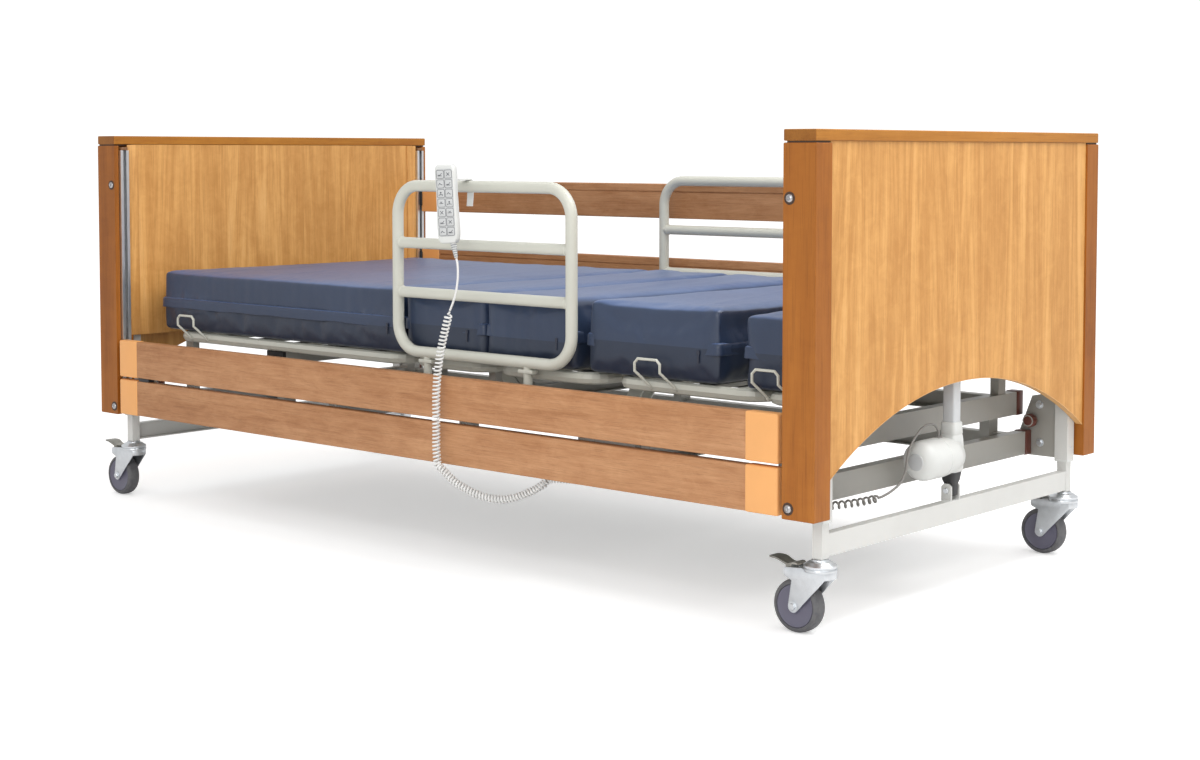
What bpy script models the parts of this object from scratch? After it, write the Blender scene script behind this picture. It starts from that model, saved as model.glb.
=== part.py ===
"""Adjustable nursing bed with timber ends, sliding side rails and a four-section mattress.

Metres, +Z up. The bed lies along X with its head at -X; Z = 0 is the floor, and the origin is
the middle of the footprint. Shapes are drawn about the bed's own centre plane with heights above a
datum a little over the floor, then the whole assembly hangs on one empty that lifts it by that
datum and brings the footprint's middle to the origin.
"""
import math

import bmesh
import bpy
from mathutils import Matrix, Vector

# ---------------------------------------------------------------- driving dimensions
GAP = 0.0003                  # working gap between pieces that touch

LENGTH = 2.200                # over the outer faces of both timber ends
WIDTH = 1.062                 # over the outer faces of the posts
DATUM = 0.012                 # floor to the level that all heights below start from
HEIGHT = 0.908                # datum to the top of the cap rails, bed at its lowest

END_DEPTH = 0.071             # a timber end, outer face to inner face
POST_WIDTH = 0.050
POST_LOW = 0.208
POST_HIGH = 0.884
CAP_HEIGHT = 0.021
PANEL_OUTER_SKIN = 0.014
PANEL_INNER_SKIN = 0.012
PANEL_RECESS = 0.004          # outer skin behind the posts' faces
INNER_SKIN_LOW = 0.405
ARCH_TOP = 0.4186
ARCH_RADIUS = 0.890

CHANNEL_WIDTH = 0.024
CHANNEL_WALL = 0.0025
CHANNEL_SLOT = 0.009
CHANNEL_PROUD = 0.008         # how far the guide channel stands out of the post
CHANNEL_INSET = 0.014         # from the post's outer side
CHANNEL_LOW = 0.215
CHANNEL_HIGH = 0.872

RAIL_THICK = 0.025            # side rail boards
RAIL_HALF = 0.945             # half the timber length
RAIL_END_CLEAR = 0.0015       # moulded end cap to guide channel
UPPER_RAIL = (0.3065, 0.3960)
LOWER_RAIL = (0.2120, 0.2980)
UPPER_LIFT = 0.390
LOWER_LIFT = 0.296
RAIL_CAP_SWELL = 0.0012

LEG_X = 1.065
LEG_Y = 0.460
LEG_SIZE = 0.022
LEG_WALL = 0.002
LEG_LOW = 0.130
LEG_HIGH = 0.720
SLEEVE_SIZE = 0.030
SLEEVE_WALL = 0.0025
SLEEVE_LOW = 0.197
SLEEVE_HIGH = 0.860
CROSSBAR = (0.1335, 0.1755)   # bottom and top of the crossbar
HEIGHT_TRAVEL = 0.400

COLUMN_X = 1.0595
COLUMN_SIZE = 0.027
COLUMN_WALL = 0.0025
COLUMN_HIGH = 0.790
GEARBOX = (0.2310, 0.305)
MOTOR_Z = 0.265
MOTOR_RADIUS = 0.040
MOTOR_REACH = 0.1335
CLEVIS_PIN_Z = 0.194

FRAME_Z = 0.4065              # centre of every section's tube, and of every section hinge
TUBE = 0.0125                 # section tube radius
FRAME_HALF = 0.4175
HINGE_Y = 0.340
BACK_HINGE_X = -0.075
THIGH_HINGE_X = 0.185
CALF_HINGE_X = 0.5125
BACK_FRAME = (-0.930, -0.085)
SEAT_FRAME = (-0.065, 0.175)
THIGH_FRAME = (0.195, 0.495)
CALF_FRAME = (0.530, 0.9085)
EXTENSION_FRAME = (0.912, 1.005)

MATTRESS_LOW = 0.4205
MATTRESS_HIGH = 0.568
MATTRESS_HALF = 0.437
MATTRESS_HEAD = -0.954
THIGH_PAD_END = 0.440
CALF_PAD = (0.462, 0.819)
INFILL_PAD = (0.874, 1.012)
BACK_RANGE = math.radians(70)
THIGH_RANGE = math.radians(35)
CALF_RATIO = -1.66            # calf turns back this much for each degree of thigh

GRAB_Y = 0.458
GRAB_X = (-0.076, 0.4645)
GRAB_Z = (0.4330, 0.7946)     # centres of the bottom and top tubes
GRAB_BARS = (0.562, 0.670)
GRAB_BEND = 0.062

WHEEL_RADIUS = 0.050
WHEEL_WIDTH = 0.032
AXLE_Z = WHEEL_RADIUS - DATUM
TRAIL = 0.046                 # castor stem to axle
PEDAL_REACH = 0.105
PEDAL_PIVOT = (-0.0620, 0.1040)   # from the stem, and above the datum
HOUSING_RADIUS = 0.0315

HANDSET_AT = (0.1923, -0.5530, 0.7605)   # its middle, outboard of the side rails' path
HANDSET_SIZE = (0.0455, 0.0215, 0.163)
HANDSET_TURN = math.radians(22)          # its face looks towards the foot end
HANDSET_LEAN = math.radians(3)
HANDSET_FRONT = -0.5726                  # its outermost edge

CORD_RADIUS = 0.0023
COIL_RADIUS = 0.009
MOTOR_COIL_RADIUS = 0.0085

HEAD, FOOT = -1, 1
NEAR, FAR = -1, 1

# Middle of the footprint: the head castors' pedals and the handset reach past the timber ends.
FOOTPRINT_X = (LENGTH / 2 - LEG_X - PEDAL_REACH) / 2
FOOTPRINT_Y = (WIDTH / 2 + HANDSET_FRONT) / 2


# ---------------------------------------------------------------- materials
def make_material(name, color, roughness, metallic=0.0):
    material = bpy.data.materials.new(name)
    material.use_nodes = True
    shader = material.node_tree.nodes["Principled BSDF"]
    shader.inputs["Base Color"].default_value = (*color, 1.0)
    shader.inputs["Roughness"].default_value = roughness
    shader.inputs["Metallic"].default_value = metallic
    material.diffuse_color = (*color, 1.0)
    return material


# ---------------------------------------------------------------- shape helpers
def spot(axis, u, v, w):
    """Point from two section coordinates and a distance along the axis."""
    return {"X": (w, u, v), "Y": (u, w, v), "Z": (u, v, w)}[axis]


def finish_mesh(bm, name="piece"):
    bmesh.ops.recalc_face_normals(bm, faces=bm.faces)
    mesh = bpy.data.meshes.new(name)
    bm.to_mesh(mesh)
    bm.free()
    return mesh


def prism(axis, outline, low, high):
    """Extrude a section outline along an axis."""
    bm = bmesh.new()
    base = bm.faces.new([bm.verts.new(spot(axis, u, v, low)) for u, v in outline])
    grown = bmesh.ops.extrude_face_region(bm, geom=[base])["geom"]
    moved = [item for item in grown if isinstance(item, bmesh.types.BMVert)]
    bmesh.ops.translate(bm, verts=moved, vec=spot(axis, 0, 0, high - low))
    return finish_mesh(bm)


def box(x0, x1, y0, y1, z0, z1, bevel=0.0):
    bm = bmesh.new()
    bmesh.ops.create_cube(bm, size=1.0)
    size = Vector((abs(x1 - x0), abs(y1 - y0), abs(z1 - z0)))
    bmesh.ops.scale(bm, verts=bm.verts, vec=size)
    bmesh.ops.translate(bm, verts=bm.verts, vec=((x0 + x1) / 2, (y0 + y1) / 2, (z0 + z1) / 2))
    if bevel:
        bmesh.ops.bevel(bm, geom=list(bm.edges), offset=bevel, segments=2, affect="EDGES",
                        profile=0.5)
    return finish_mesh(bm)


def tube_prism(axis, centre, outer, inner, low, high):
    """Square tube, open at both ends."""
    half = [(-1, -1), (1, -1), (1, 1), (-1, 1)]
    bm = bmesh.new()
    rings = []
    for size, level in ((outer, low), (outer, high), (inner, high), (inner, low)):
        points = [(centre[0] + u * size / 2, centre[1] + v * size / 2) for u, v in half]
        rings.append([bm.verts.new(spot(axis, u, v, level)) for u, v in points])
    for index, ring in enumerate(rings):
        other = rings[(index + 1) % 4]
        for k in range(4):
            bm.faces.new((ring[k], ring[(k + 1) % 4], other[(k + 1) % 4], other[k]))
    return finish_mesh(bm)


def turned(profile, sides, centre=(0, 0, 0), axis="Z"):
    """Solid of revolution from a closed loop of (radius, height) points."""
    bm = bmesh.new()
    ring = [bm.verts.new((radius, 0, height)) for radius, height in profile]
    edges = [bm.edges.new((ring[k], ring[(k + 1) % len(ring)])) for k in range(len(ring))]
    bmesh.ops.spin(bm, geom=ring + edges, cent=(0, 0, 0), axis=(0, 0, 1),
                   angle=2 * math.pi, steps=sides, use_merge=True)
    turn = {"Z": Matrix(), "Y": Matrix.Rotation(math.radians(90), 4, "X"),
            "X": Matrix.Rotation(math.radians(90), 4, "Y")}[axis]
    bmesh.ops.transform(bm, matrix=Matrix.Translation(centre) @ turn, verts=bm.verts)
    return finish_mesh(bm)


def turned_solid(profile, sides, centre):
    """Solid of revolution about -Y from (radius, reach) pairs that start and end at radius 0."""
    bm = bmesh.new()
    rings = []
    for radius, reach in profile[1:-1]:
        ring = []
        for k in range(sides):
            angle = 2 * math.pi * k / sides
            ring.append(bm.verts.new((radius * math.cos(angle), -reach, radius * math.sin(angle))))
        rings.append(ring)
    for a, b in zip(rings, rings[1:]):
        for k in range(sides):
            bm.faces.new((a[k], a[(k + 1) % sides], b[(k + 1) % sides], b[k]))
    bm.faces.new(rings[0])
    bm.faces.new(rings[-1])
    bmesh.ops.translate(bm, verts=bm.verts, vec=centre)
    return finish_mesh(bm)


def rod(start, end, radius, sides=12, end_radius=None):
    """Solid round bar, or a cone, between two points."""
    start, end = Vector(start), Vector(end)
    along = end - start
    bm = bmesh.new()
    bmesh.ops.create_cone(bm, cap_ends=True, segments=sides, radius1=radius,
                          radius2=radius if end_radius is None else end_radius,
                          depth=along.length)
    turn = Vector((0, 0, 1)).rotation_difference(along).to_matrix().to_4x4()
    matrix = Matrix.Translation((start + end) / 2) @ turn
    bmesh.ops.transform(bm, matrix=matrix, verts=bm.verts)
    return finish_mesh(bm)


def curve_object(name, points, radius, cyclic=False, resolution=2):
    curve = bpy.data.curves.new(name, "CURVE")
    curve.dimensions = "3D"
    curve.bevel_depth = radius
    curve.bevel_resolution = resolution
    curve.use_fill_caps = not cyclic
    spline = curve.splines.new("POLY")
    spline.points.add(len(points) - 1)
    for item, point in zip(spline.points, points):
        item.co = (*point, 1.0)
    spline.use_cyclic_u = cyclic
    obj = bpy.data.objects.new(name, curve)
    bpy.context.scene.collection.objects.link(obj)
    return obj


def bent_tube(points, radius, cyclic=False, resolution=2):
    """Mesh of a round tube or wire along a list of points."""
    obj = curve_object("bent_tube", points, radius, cyclic, resolution)
    mesh = baked(obj)
    bpy.data.objects.remove(obj)
    return mesh


def baked(obj):
    depsgraph = bpy.context.evaluated_depsgraph_get()
    return bpy.data.meshes.new_from_object(obj.evaluated_get(depsgraph))


def rounded_loop(u0, u1, v0, v1, radius, steps=5):
    """Points of a rectangle with round corners."""
    corners = ((u1 - radius, v1 - radius, 0), (u0 + radius, v1 - radius, 90),
               (u0 + radius, v0 + radius, 180), (u1 - radius, v0 + radius, 270))
    points = []
    for cu, cv, start in corners:
        for k in range(steps + 1):
            angle = math.radians(start + 90 * k / steps)
            points.append((cu + radius * math.cos(angle), cv + radius * math.sin(angle)))
    return points


def smooth_route(anchors, spacing):
    """Evenly spaced points on a Catmull-Rom curve through the anchors."""
    anchors = [Vector(point) for point in anchors]
    padded = [anchors[0] * 2 - anchors[1], *anchors, anchors[-1] * 2 - anchors[-2]]
    fine = []
    for k in range(1, len(padded) - 2):
        a, b, c, d = padded[k - 1:k + 3]
        for step in range(40):
            t = step / 40
            fine.append(0.5 * (2 * b + (c - a) * t + (2 * a - 5 * b + 4 * c - d) * t ** 2
                               + (3 * b - a - 3 * c + d) * t ** 3))
    fine.append(anchors[-1])
    total = sum((fine[k + 1] - fine[k]).length for k in range(len(fine) - 1))
    count = max(2, round(total / spacing))
    points, travelled, target = [fine[0]], 0.0, total / count
    for k in range(len(fine) - 1):
        travelled += (fine[k + 1] - fine[k]).length
        if travelled >= target * len(points) and len(points) < count:
            points.append(fine[k + 1])
    points.append(fine[-1])
    return points


def place(name, mesh, material, smooth=False):
    mesh.name = name
    obj = bpy.data.objects.new(name, mesh)
    bpy.context.scene.collection.objects.link(obj)
    mesh.materials.clear()
    mesh.materials.append(material)
    if smooth:
        mesh.shade_smooth()
        mesh.set_sharp_from_angle(angle=math.radians(40))
    return obj


def combine(meshes, operation, tools):
    """Boolean of the first mesh with the rest, as one new mesh."""
    base = bpy.data.objects.new("base", meshes)
    bpy.context.scene.collection.objects.link(base)
    group = bpy.data.collections.new("tools")
    for mesh in tools:
        group.objects.link(bpy.data.objects.new("tool", mesh))
    modifier = base.modifiers.new("combine", "BOOLEAN")
    modifier.operation = operation
    modifier.solver = "EXACT"
    modifier.operand_type = "COLLECTION"
    modifier.collection = group
    result = baked(base)
    bpy.data.objects.remove(base)
    for tool in list(group.objects):
        bpy.data.objects.remove(tool)
    bpy.data.collections.remove(group)
    bm = bmesh.new()
    bm.from_mesh(result)
    bmesh.ops.dissolve_limit(bm, angle_limit=math.radians(0.5), verts=bm.verts, edges=bm.edges)
    bmesh.ops.remove_doubles(bm, verts=bm.verts, dist=0.00002)
    return finish_mesh(bm)


def fused(meshes):
    return combine(meshes[0], "UNION", meshes[1:])


def bored(mesh, tools):
    return combine(mesh, "DIFFERENCE", tools)


def span(side, a, b):
    """Interval mirrored to one side of a centre plane, lowest first."""
    return tuple(sorted((side * a, side * b)))


# ---------------------------------------------------------------- timber ends
END_OUT = LENGTH / 2
END_IN = END_OUT - END_DEPTH
SIDE_OUT = WIDTH / 2
POST_IN = SIDE_OUT - POST_WIDTH
CHANNEL_OUT = SIDE_OUT - CHANNEL_INSET
CHANNEL_IN = CHANNEL_OUT - CHANNEL_WIDTH
CHANNEL_MID = (CHANNEL_OUT + CHANNEL_IN) / 2
CHANNEL_FACE = END_IN - CHANNEL_PROUD
CHANNEL_BACK = CHANNEL_FACE + CHANNEL_WIDTH


def post(end, hand):
    """Solid timber post with a rebate for the guide channel."""
    notch_x = CHANNEL_BACK + GAP
    outline = [(END_OUT, POST_IN), (END_OUT, SIDE_OUT), (END_IN, SIDE_OUT),
               (END_IN, CHANNEL_OUT + GAP), (notch_x, CHANNEL_OUT + GAP),
               (notch_x, CHANNEL_IN - GAP), (END_IN, CHANNEL_IN - GAP), (END_IN, POST_IN)]
    return prism("Z", [(end * x, hand * y) for x, y in outline], POST_LOW, POST_HIGH)


def guide_channel(end, hand):
    """Aluminium C channel whose slot faces into the bed."""
    slot, wall = CHANNEL_SLOT / 2, CHANNEL_WALL
    front, back = CHANNEL_FACE, CHANNEL_BACK
    low, high, mid = CHANNEL_IN, CHANNEL_OUT, CHANNEL_MID
    outline = [(front, mid - slot), (front, low), (back, low), (back, high), (front, high),
               (front, mid + slot), (front + wall, mid + slot), (front + wall, high - wall),
               (back - wall, high - wall), (back - wall, low + wall), (front + wall, low + wall),
               (front + wall, mid - slot)]
    return prism("Z", [(end * x, hand * y) for x, y in outline], CHANNEL_LOW, CHANNEL_HIGH)


def arched_skin(x0, x1):
    """Board with a segment of a circle cut from its lower edge."""
    half = POST_IN - GAP
    top = HEIGHT - CAP_HEIGHT - GAP
    centre_z = ARCH_TOP - ARCH_RADIUS
    steps = 20
    outline = [(half, top), (-half, top)]
    for k in range(steps + 1):
        y = -half + 2 * half * k / steps
        outline.append((y, centre_z + math.sqrt(ARCH_RADIUS ** 2 - y ** 2)))
    return prism("X", outline, *sorted((x0, x1)))


def end_panel(end):
    """Arched outer skin, shorter inner skin and the batten that joins them under the cap."""
    outer = END_OUT - PANEL_RECESS
    inner = END_IN + 0.002
    top = HEIGHT - CAP_HEIGHT - GAP
    batten = box(*span(end, inner + 0.006, outer - 0.006), -0.470, 0.470, SLEEVE_HIGH + 0.004,
                 top - 0.002)
    return fused([arched_skin(end * (outer - PANEL_OUTER_SKIN), end * outer),
                  box(*span(end, inner, inner + PANEL_INNER_SKIN), GAP - POST_IN, POST_IN - GAP,
                      INNER_SKIN_LOW, top), batten])


def cap_rail(end):
    return box(*span(end, END_IN, END_OUT), -SIDE_OUT, SIDE_OUT, HEIGHT - CAP_HEIGHT, HEIGHT,
               bevel=0.002)


# ---------------------------------------------------------------- side rails
def side_rail(hand, levels, lift):
    """Timber board with its two moulded end caps and their sliders in the guide channels."""
    low, high = levels[0] + lift, levels[1] + lift
    outer, inner = hand * SIDE_OUT, hand * (SIDE_OUT - RAIL_THICK)
    inset = hand * RAIL_CAP_SWELL
    pieces = [box(-RAIL_HALF - 0.005, RAIL_HALF + 0.005, inner, outer - inset, low, high,
                  bevel=0.002)]
    cap_end = CHANNEL_FACE - RAIL_END_CLEAR
    middle = (low + high) / 2
    for end in (HEAD, FOOT):
        cap = box(*span(end, RAIL_HALF, cap_end), inner - inset, outer, low - 0.001,
                  high + 0.001, bevel=0.0025)
        neck = box(*span(end, cap_end - 0.004, CHANNEL_FACE + 0.008),
                   hand * (CHANNEL_MID - 0.003), hand * (CHANNEL_MID + 0.003),
                   middle - 0.028, middle + 0.028)
        block = box(*span(end, CHANNEL_FACE + 0.0035, CHANNEL_BACK - 0.0040),
                    hand * (CHANNEL_MID - 0.0078), hand * (CHANNEL_MID + 0.0078),
                    middle - 0.030, middle + 0.030)
        pieces += [cap, neck, block]
    return fused(pieces)


# ---------------------------------------------------------------- height drive
def crossbar_section(end):
    """C section, open towards the middle of the bed."""
    x0, x1, wall = LEG_X - 0.010, LEG_X + 0.010, 0.003
    low, high = CROSSBAR
    outline = [(x0, low), (x1, low), (x1, high), (x0, high), (x0, high - wall),
               (x1 - wall, high - wall), (x1 - wall, low + wall), (x0, low + wall)]
    return [(end * x, z) for x, z in outline]


def leg_frame(end):
    """Two square legs, the crossbar between them and the lugs that hold the drive's foot."""
    pieces = [prism("Y", crossbar_section(end), -LEG_Y + 0.009, LEG_Y - 0.009)]
    for hand in (NEAR, FAR):
        centre = (end * LEG_X, hand * LEG_Y)
        pieces.append(tube_prism("Z", centre, LEG_SIZE, LEG_SIZE - 2 * LEG_WALL, LEG_LOW,
                                 LEG_HIGH))
    lug = [(COLUMN_X - 0.012, CROSSBAR[1] - 0.002), (COLUMN_X + 0.011, CROSSBAR[1] - 0.002),
           (COLUMN_X + 0.011, 0.202), (COLUMN_X + 0.005, 0.208), (COLUMN_X - 0.006, 0.208),
           (COLUMN_X - 0.012, 0.202)]
    for hand in (NEAR, FAR):
        pieces.append(prism("Y", [(end * x, z) for x, z in lug], *span(hand, 0.0135, 0.0175)))
    pin = rod((end * COLUMN_X, -0.021, CLEVIS_PIN_Z), (end * COLUMN_X, 0.021, CLEVIS_PIN_Z),
              0.005)
    return fused(pieces + [pin])


def lift_drive(end):
    """Gearbox, domed side motor, tapered foot with its eye, and the square outer column."""
    x = COLUMN_X
    gearbox = box(x - 0.0195, x + 0.0195, -0.022, 0.022, *GEARBOX, bevel=0.004)
    dome = ((0.0, 0.0), (MOTOR_RADIUS, 0.0), (MOTOR_RADIUS, 0.1120), (0.0385, 0.1180),
            (0.0340, 0.1240), (0.0270, 0.1295), (0.0165, MOTOR_REACH), (0.0, MOTOR_REACH))
    motor = turned_solid(dome, 24, (x, 0, MOTOR_Z))
    stem = rod((x, 0, 0.1820), (x, 0, 0.2120), 0.0120)
    taper = rod((x, 0, 0.2105), (x, 0, GEARBOX[0] + 0.002), 0.0124, 12, 0.0178)
    column = tube_prism("Z", (x, 0), COLUMN_SIZE, COLUMN_SIZE - 2 * COLUMN_WALL,
                        GEARBOX[1] - 0.002, COLUMN_HIGH)
    eye = rod((x, -0.03, CLEVIS_PIN_Z), (x, 0.03, CLEVIS_PIN_Z), 0.0056)
    drive = bored(fused([gearbox, motor, stem, taper, column]), [eye])
    if end == HEAD:
        drive.transform(Matrix.Rotation(math.pi, 4, "Z"))
    return drive


def lift_rod(end):
    x = end * COLUMN_X
    return rod((x, 0, 0.360), (x, 0, SLEEVE_HIGH - 0.030 - GAP), 0.0100, 16)


def end_frame(end):
    """Sleeves that slide on the legs, their top bar and the plates that carry the chassis."""
    top_bar = box(*span(end, LEG_X - 0.010, LEG_X + 0.010), -LEG_Y + 0.013, LEG_Y - 0.013,
                  SLEEVE_HIGH - 0.030, SLEEVE_HIGH - 0.002)
    pieces = [top_bar]
    sleeve_in = LEG_X - SLEEVE_SIZE / 2
    plate = [(0.9660, 0.2030), (sleeve_in + 0.002, 0.2030), (sleeve_in + 0.002, 0.3330),
             (1.0150, 0.3390), (0.9920, 0.3340), (0.9600, 0.2500)]
    for hand in (NEAR, FAR):
        centre = (end * LEG_X, hand * LEG_Y)
        pieces.append(tube_prism("Z", centre, SLEEVE_SIZE, SLEEVE_SIZE - 2 * SLEEVE_WALL,
                                 SLEEVE_LOW, SLEEVE_HIGH))
        pieces.append(prism("Y", [(end * x, z) for x, z in plate], *span(hand, 0.450, 0.454)))
        knob_x, knob_z = end * 0.999, 0.282
        pieces.append(rod((knob_x, hand * 0.466, knob_z), (knob_x, hand * 0.436, knob_z),
                          0.0050))
        pieces.append(rod((knob_x, hand * 0.438, knob_z), (knob_x, hand * 0.418, knob_z),
                          0.0125, 16))
    return fused(pieces)


# ---------------------------------------------------------------- chassis and sections
def bar_c(axis, centre, size, open_side, low, high, wall=0.0025):
    """Rectangular C section along an axis; open_side is the sign of the open face."""
    u, v = centre
    half_u, half_v = size[0] / 2 * open_side, size[1] / 2
    outline = [(u + half_u, v - half_v), (u - half_u, v - half_v), (u - half_u, v + half_v),
               (u + half_u, v + half_v), (u + half_u, v + half_v - wall),
               (u - half_u + wall * open_side, v + half_v - wall),
               (u - half_u + wall * open_side, v - half_v + wall),
               (u + half_u, v - half_v + wall)]
    return prism(axis, outline, low, high)


LOWER_RAIL_Z = 0.232          # centre height of the chassis side rails
UPPER_RAIL_Z = 0.320
CHASSIS_SIDE = 0.380
UPPER_SIDE = 0.360


def chassis():
    """Lower side rails and end tubes, with the raised frame that carries the sections."""
    pieces = []
    for end in (HEAD, FOOT):
        pieces.append(bar_c("Y", (end * 0.9775, LOWER_RAIL_Z), (0.025, 0.050), -end,
                            -0.4497, 0.4497))
    for hand in (NEAR, FAR):
        pieces.append(bar_c("X", (hand * CHASSIS_SIDE, LOWER_RAIL_Z), (0.025, 0.050), -hand,
                            -0.970, 0.970))
        pieces.append(bar_c("X", (hand * UPPER_SIDE, UPPER_RAIL_Z), (0.025, 0.040), -hand,
                            -0.585, 0.955))
        for x in (-0.560, 0.0675, 0.590, 0.930):
            pieces.append(box(x - 0.012, x + 0.012, *span(hand, 0.352, 0.389), 0.250, 0.305))
        for x in (-0.030, 0.140):
            pieces.append(box(x - 0.010, x + 0.010, *span(hand, 0.351, 0.3715), 0.335, 0.3935))
        pieces.append(box(0.9480, 0.9680, *span(hand, 0.345, 0.375), 0.338, 0.3915))
        pieces.append(box(-0.935, -0.905, *span(hand, 0.370, 0.3885), 0.250, 0.3915))
        for x in (0.030, 0.330):
            pieces.append(box(x - 0.016, x + 0.016, *span(hand, 0.3712, 0.4078), 0.306, 0.334))
    pieces.append(bar_c("Y", (0.958, 0.318), (0.025, 0.050), -1, -0.445, 0.445))
    pieces.append(box(-0.593, -0.533, -0.400, 0.400, 0.360, 0.390))
    for hand in (NEAR, FAR):
        pieces.append(box(-0.575, -0.551, *span(hand, 0.352, 0.368), 0.335, 0.362))
    pieces.append(bar_c("Y", (0.0675, UPPER_RAIL_Z), (0.025, 0.036), 1, -0.355, 0.355))
    pieces.append(bar_c("Y", (0.590, 0.262), (0.025, 0.040), 1, -0.376, 0.376))
    pieces.append(bar_c("Y", (-0.370, 0.262), (0.025, 0.040), -1, -0.376, 0.376))
    for hand in (NEAR, FAR):
        pieces.append(box(-0.382, -0.358, *span(hand, 0.352, 0.389), 0.250, 0.305))
    pieces.append(box(0.9890, 1.0130, -0.4300, -0.4060, 0.1960, 0.2180))
    return fused(pieces)


def section_loop(ends, radius=0.045):
    loop = rounded_loop(ends[0] + TUBE, ends[1] - TUBE, -FRAME_HALF, FRAME_HALF, radius)
    return bent_tube([(x, y, FRAME_Z) for x, y in loop], TUBE, cyclic=True)


def slat(x, width=0.040):
    return box(x - width / 2, x + width / 2, -FRAME_HALF, FRAME_HALF, FRAME_Z - 0.004,
               FRAME_Z + 0.004)


def hinge_leaf(x, root, y, thick, hole=False):
    """Flat hinge leaf: round about the pin at x, running to the tube centre at root."""
    radius, steps = 0.008, 8
    sign = 1 if root > x else -1
    outline = [(root, FRAME_Z + radius * 0.9), (root, FRAME_Z - radius * 0.9)]
    for k in range(steps + 1):
        angle = -math.pi / 2 - math.pi * k / steps
        outline.append((x + sign * radius * math.cos(angle), FRAME_Z + radius * math.sin(angle)))
    leaf = prism("Y", outline, y - thick / 2, y + thick / 2)
    if hole:
        pin = rod((x, y - 0.02, FRAME_Z), (x, y + 0.02, FRAME_Z), 0.0046)
        leaf = bored(leaf, [pin])
    return leaf


def hinge_pins(x, root):
    """Fork and pin on the fixed side of a section hinge, one at each side."""
    pieces = []
    for hand in (NEAR, FAR):
        y = hand * HINGE_Y
        pieces += [hinge_leaf(x, root, y - 0.0065, 0.004), hinge_leaf(x, root, y + 0.0065, 0.004)]
        pieces.append(rod((x, y - 0.009, FRAME_Z), (x, y + 0.009, FRAME_Z), 0.0040))
    return pieces


def hinge_eyes(x, root):
    return [hinge_leaf(x, root, hand * HINGE_Y, 0.006, hole=True) for hand in (NEAR, FAR)]


def retainer(x, hand, half=0.032):
    """Cranked wire loop that keeps the mattress from sliding sideways off a section."""
    y_in, y_foot, y_out = hand * FRAME_HALF, hand * 0.4340, hand * 0.4575
    wire, top, shift = 0.0030, 0.4630, -0.0185
    side = [(0, y_in, FRAME_Z - 0.003), (0, y_foot - hand * 0.003, FRAME_Z - 0.003),
            (0, y_foot, FRAME_Z), (0, y_foot, 0.4095), (shift, y_out, 0.4385),
            (shift, y_out, top - 0.008)]
    route = [(x - half + dx, y, z) for dx, y, z in side]
    route += [(x - half + shift + 0.008, y_out, top), (x + half + shift - 0.008, y_out, top)]
    route += [(x + half + dx, y, z) for dx, y, z in reversed(side)]
    return bent_tube(route, wire, resolution=1)


def lever_plates(hinge_x, outline, y):
    shape = [(hinge_x + u, FRAME_Z + v) for u, v in outline]
    return [prism("Y", shape, *sorted((y + side * 0.0200, y + side * 0.0245)))
            for side in (-1, 1)]


BACK_LEVER = [(-0.040, -0.004), (-0.020, -0.012), (-0.010, -0.014), (0.098, -0.112),
              (0.101, -0.124), (0.090, -0.136), (0.076, -0.136), (-0.038, -0.036)]
THIGH_LEVER = [(0.040, -0.004), (0.020, -0.012), (0.008, -0.014), (-0.054, -0.124),
               (-0.062, -0.142), (-0.056, -0.158), (-0.036, -0.160), (0.038, -0.040)]
BACK_DRIVE_Y = -0.100
THIGH_DRIVE_Y = 0.100
BACK_DRIVE_Z = 0.270
THIGH_DRIVE_Z = 0.260
BACK_ROD_TIP = 0.011
THIGH_ROD_TIP = 0.140


def backrest_frame():
    pieces = [section_loop(BACK_FRAME)]
    pieces += [slat(x) for x in (-0.80, -0.66, -0.52, -0.38, -0.24, -0.13)]
    pieces += hinge_eyes(BACK_HINGE_X, BACK_FRAME[1] - TUBE)
    pieces += lever_plates(BACK_HINGE_X, BACK_LEVER, BACK_DRIVE_Y)
    pieces += [retainer(-0.823, hand) for hand in (NEAR, FAR)]
    return fused(pieces)


def seat_frame():
    pieces = [section_loop(SEAT_FRAME), slat(0.055)]
    pieces += hinge_pins(BACK_HINGE_X, SEAT_FRAME[0] + TUBE)
    pieces += hinge_pins(THIGH_HINGE_X, SEAT_FRAME[1] - TUBE)
    return fused(pieces)


def thigh_frame():
    pieces = [section_loop(THIGH_FRAME), slat(0.300), slat(0.400)]
    pieces += hinge_eyes(THIGH_HINGE_X, THIGH_FRAME[0] + TUBE)
    pieces += hinge_pins(CALF_HINGE_X, THIGH_FRAME[1] - TUBE)
    pieces += lever_plates(THIGH_HINGE_X, THIGH_LEVER, THIGH_DRIVE_Y)
    return fused(pieces)


def calf_frame():
    """Lower-leg section with the short extension that carries the infill pad."""
    pieces = [section_loop(CALF_FRAME), section_loop(EXTENSION_FRAME, 0.020)]
    pieces += [slat(x) for x in (0.630, 0.725, 0.820)]
    for hand in (NEAR, FAR):
        pieces.append(box(0.880, 0.960, *span(hand, 0.285, 0.315), FRAME_Z - 0.006,
                          FRAME_Z + 0.006))
        pieces.append(retainer(0.6695, hand))
        pieces.append(retainer(0.9550, hand, 0.030))
    pieces += hinge_eyes(CALF_HINGE_X, CALF_FRAME[0] + TUBE)
    return fused(pieces)


def pad(low, high, low_top, high_top):
    """Mattress section; the slanted ends leave room to fold about the hinge below."""
    outline = [(low, MATTRESS_LOW), (high, MATTRESS_LOW), (high_top, MATTRESS_HIGH),
               (low_top, MATTRESS_HIGH)]
    return prism("Y", outline, -MATTRESS_HALF, MATTRESS_HALF)


def fold_offset(angle, height):
    """Distance of a pad's slanted end from the hinge line, for a fold of this angle."""
    return 0.003 + (height - FRAME_Z) * math.tan(angle / 2 + math.radians(1))


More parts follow.
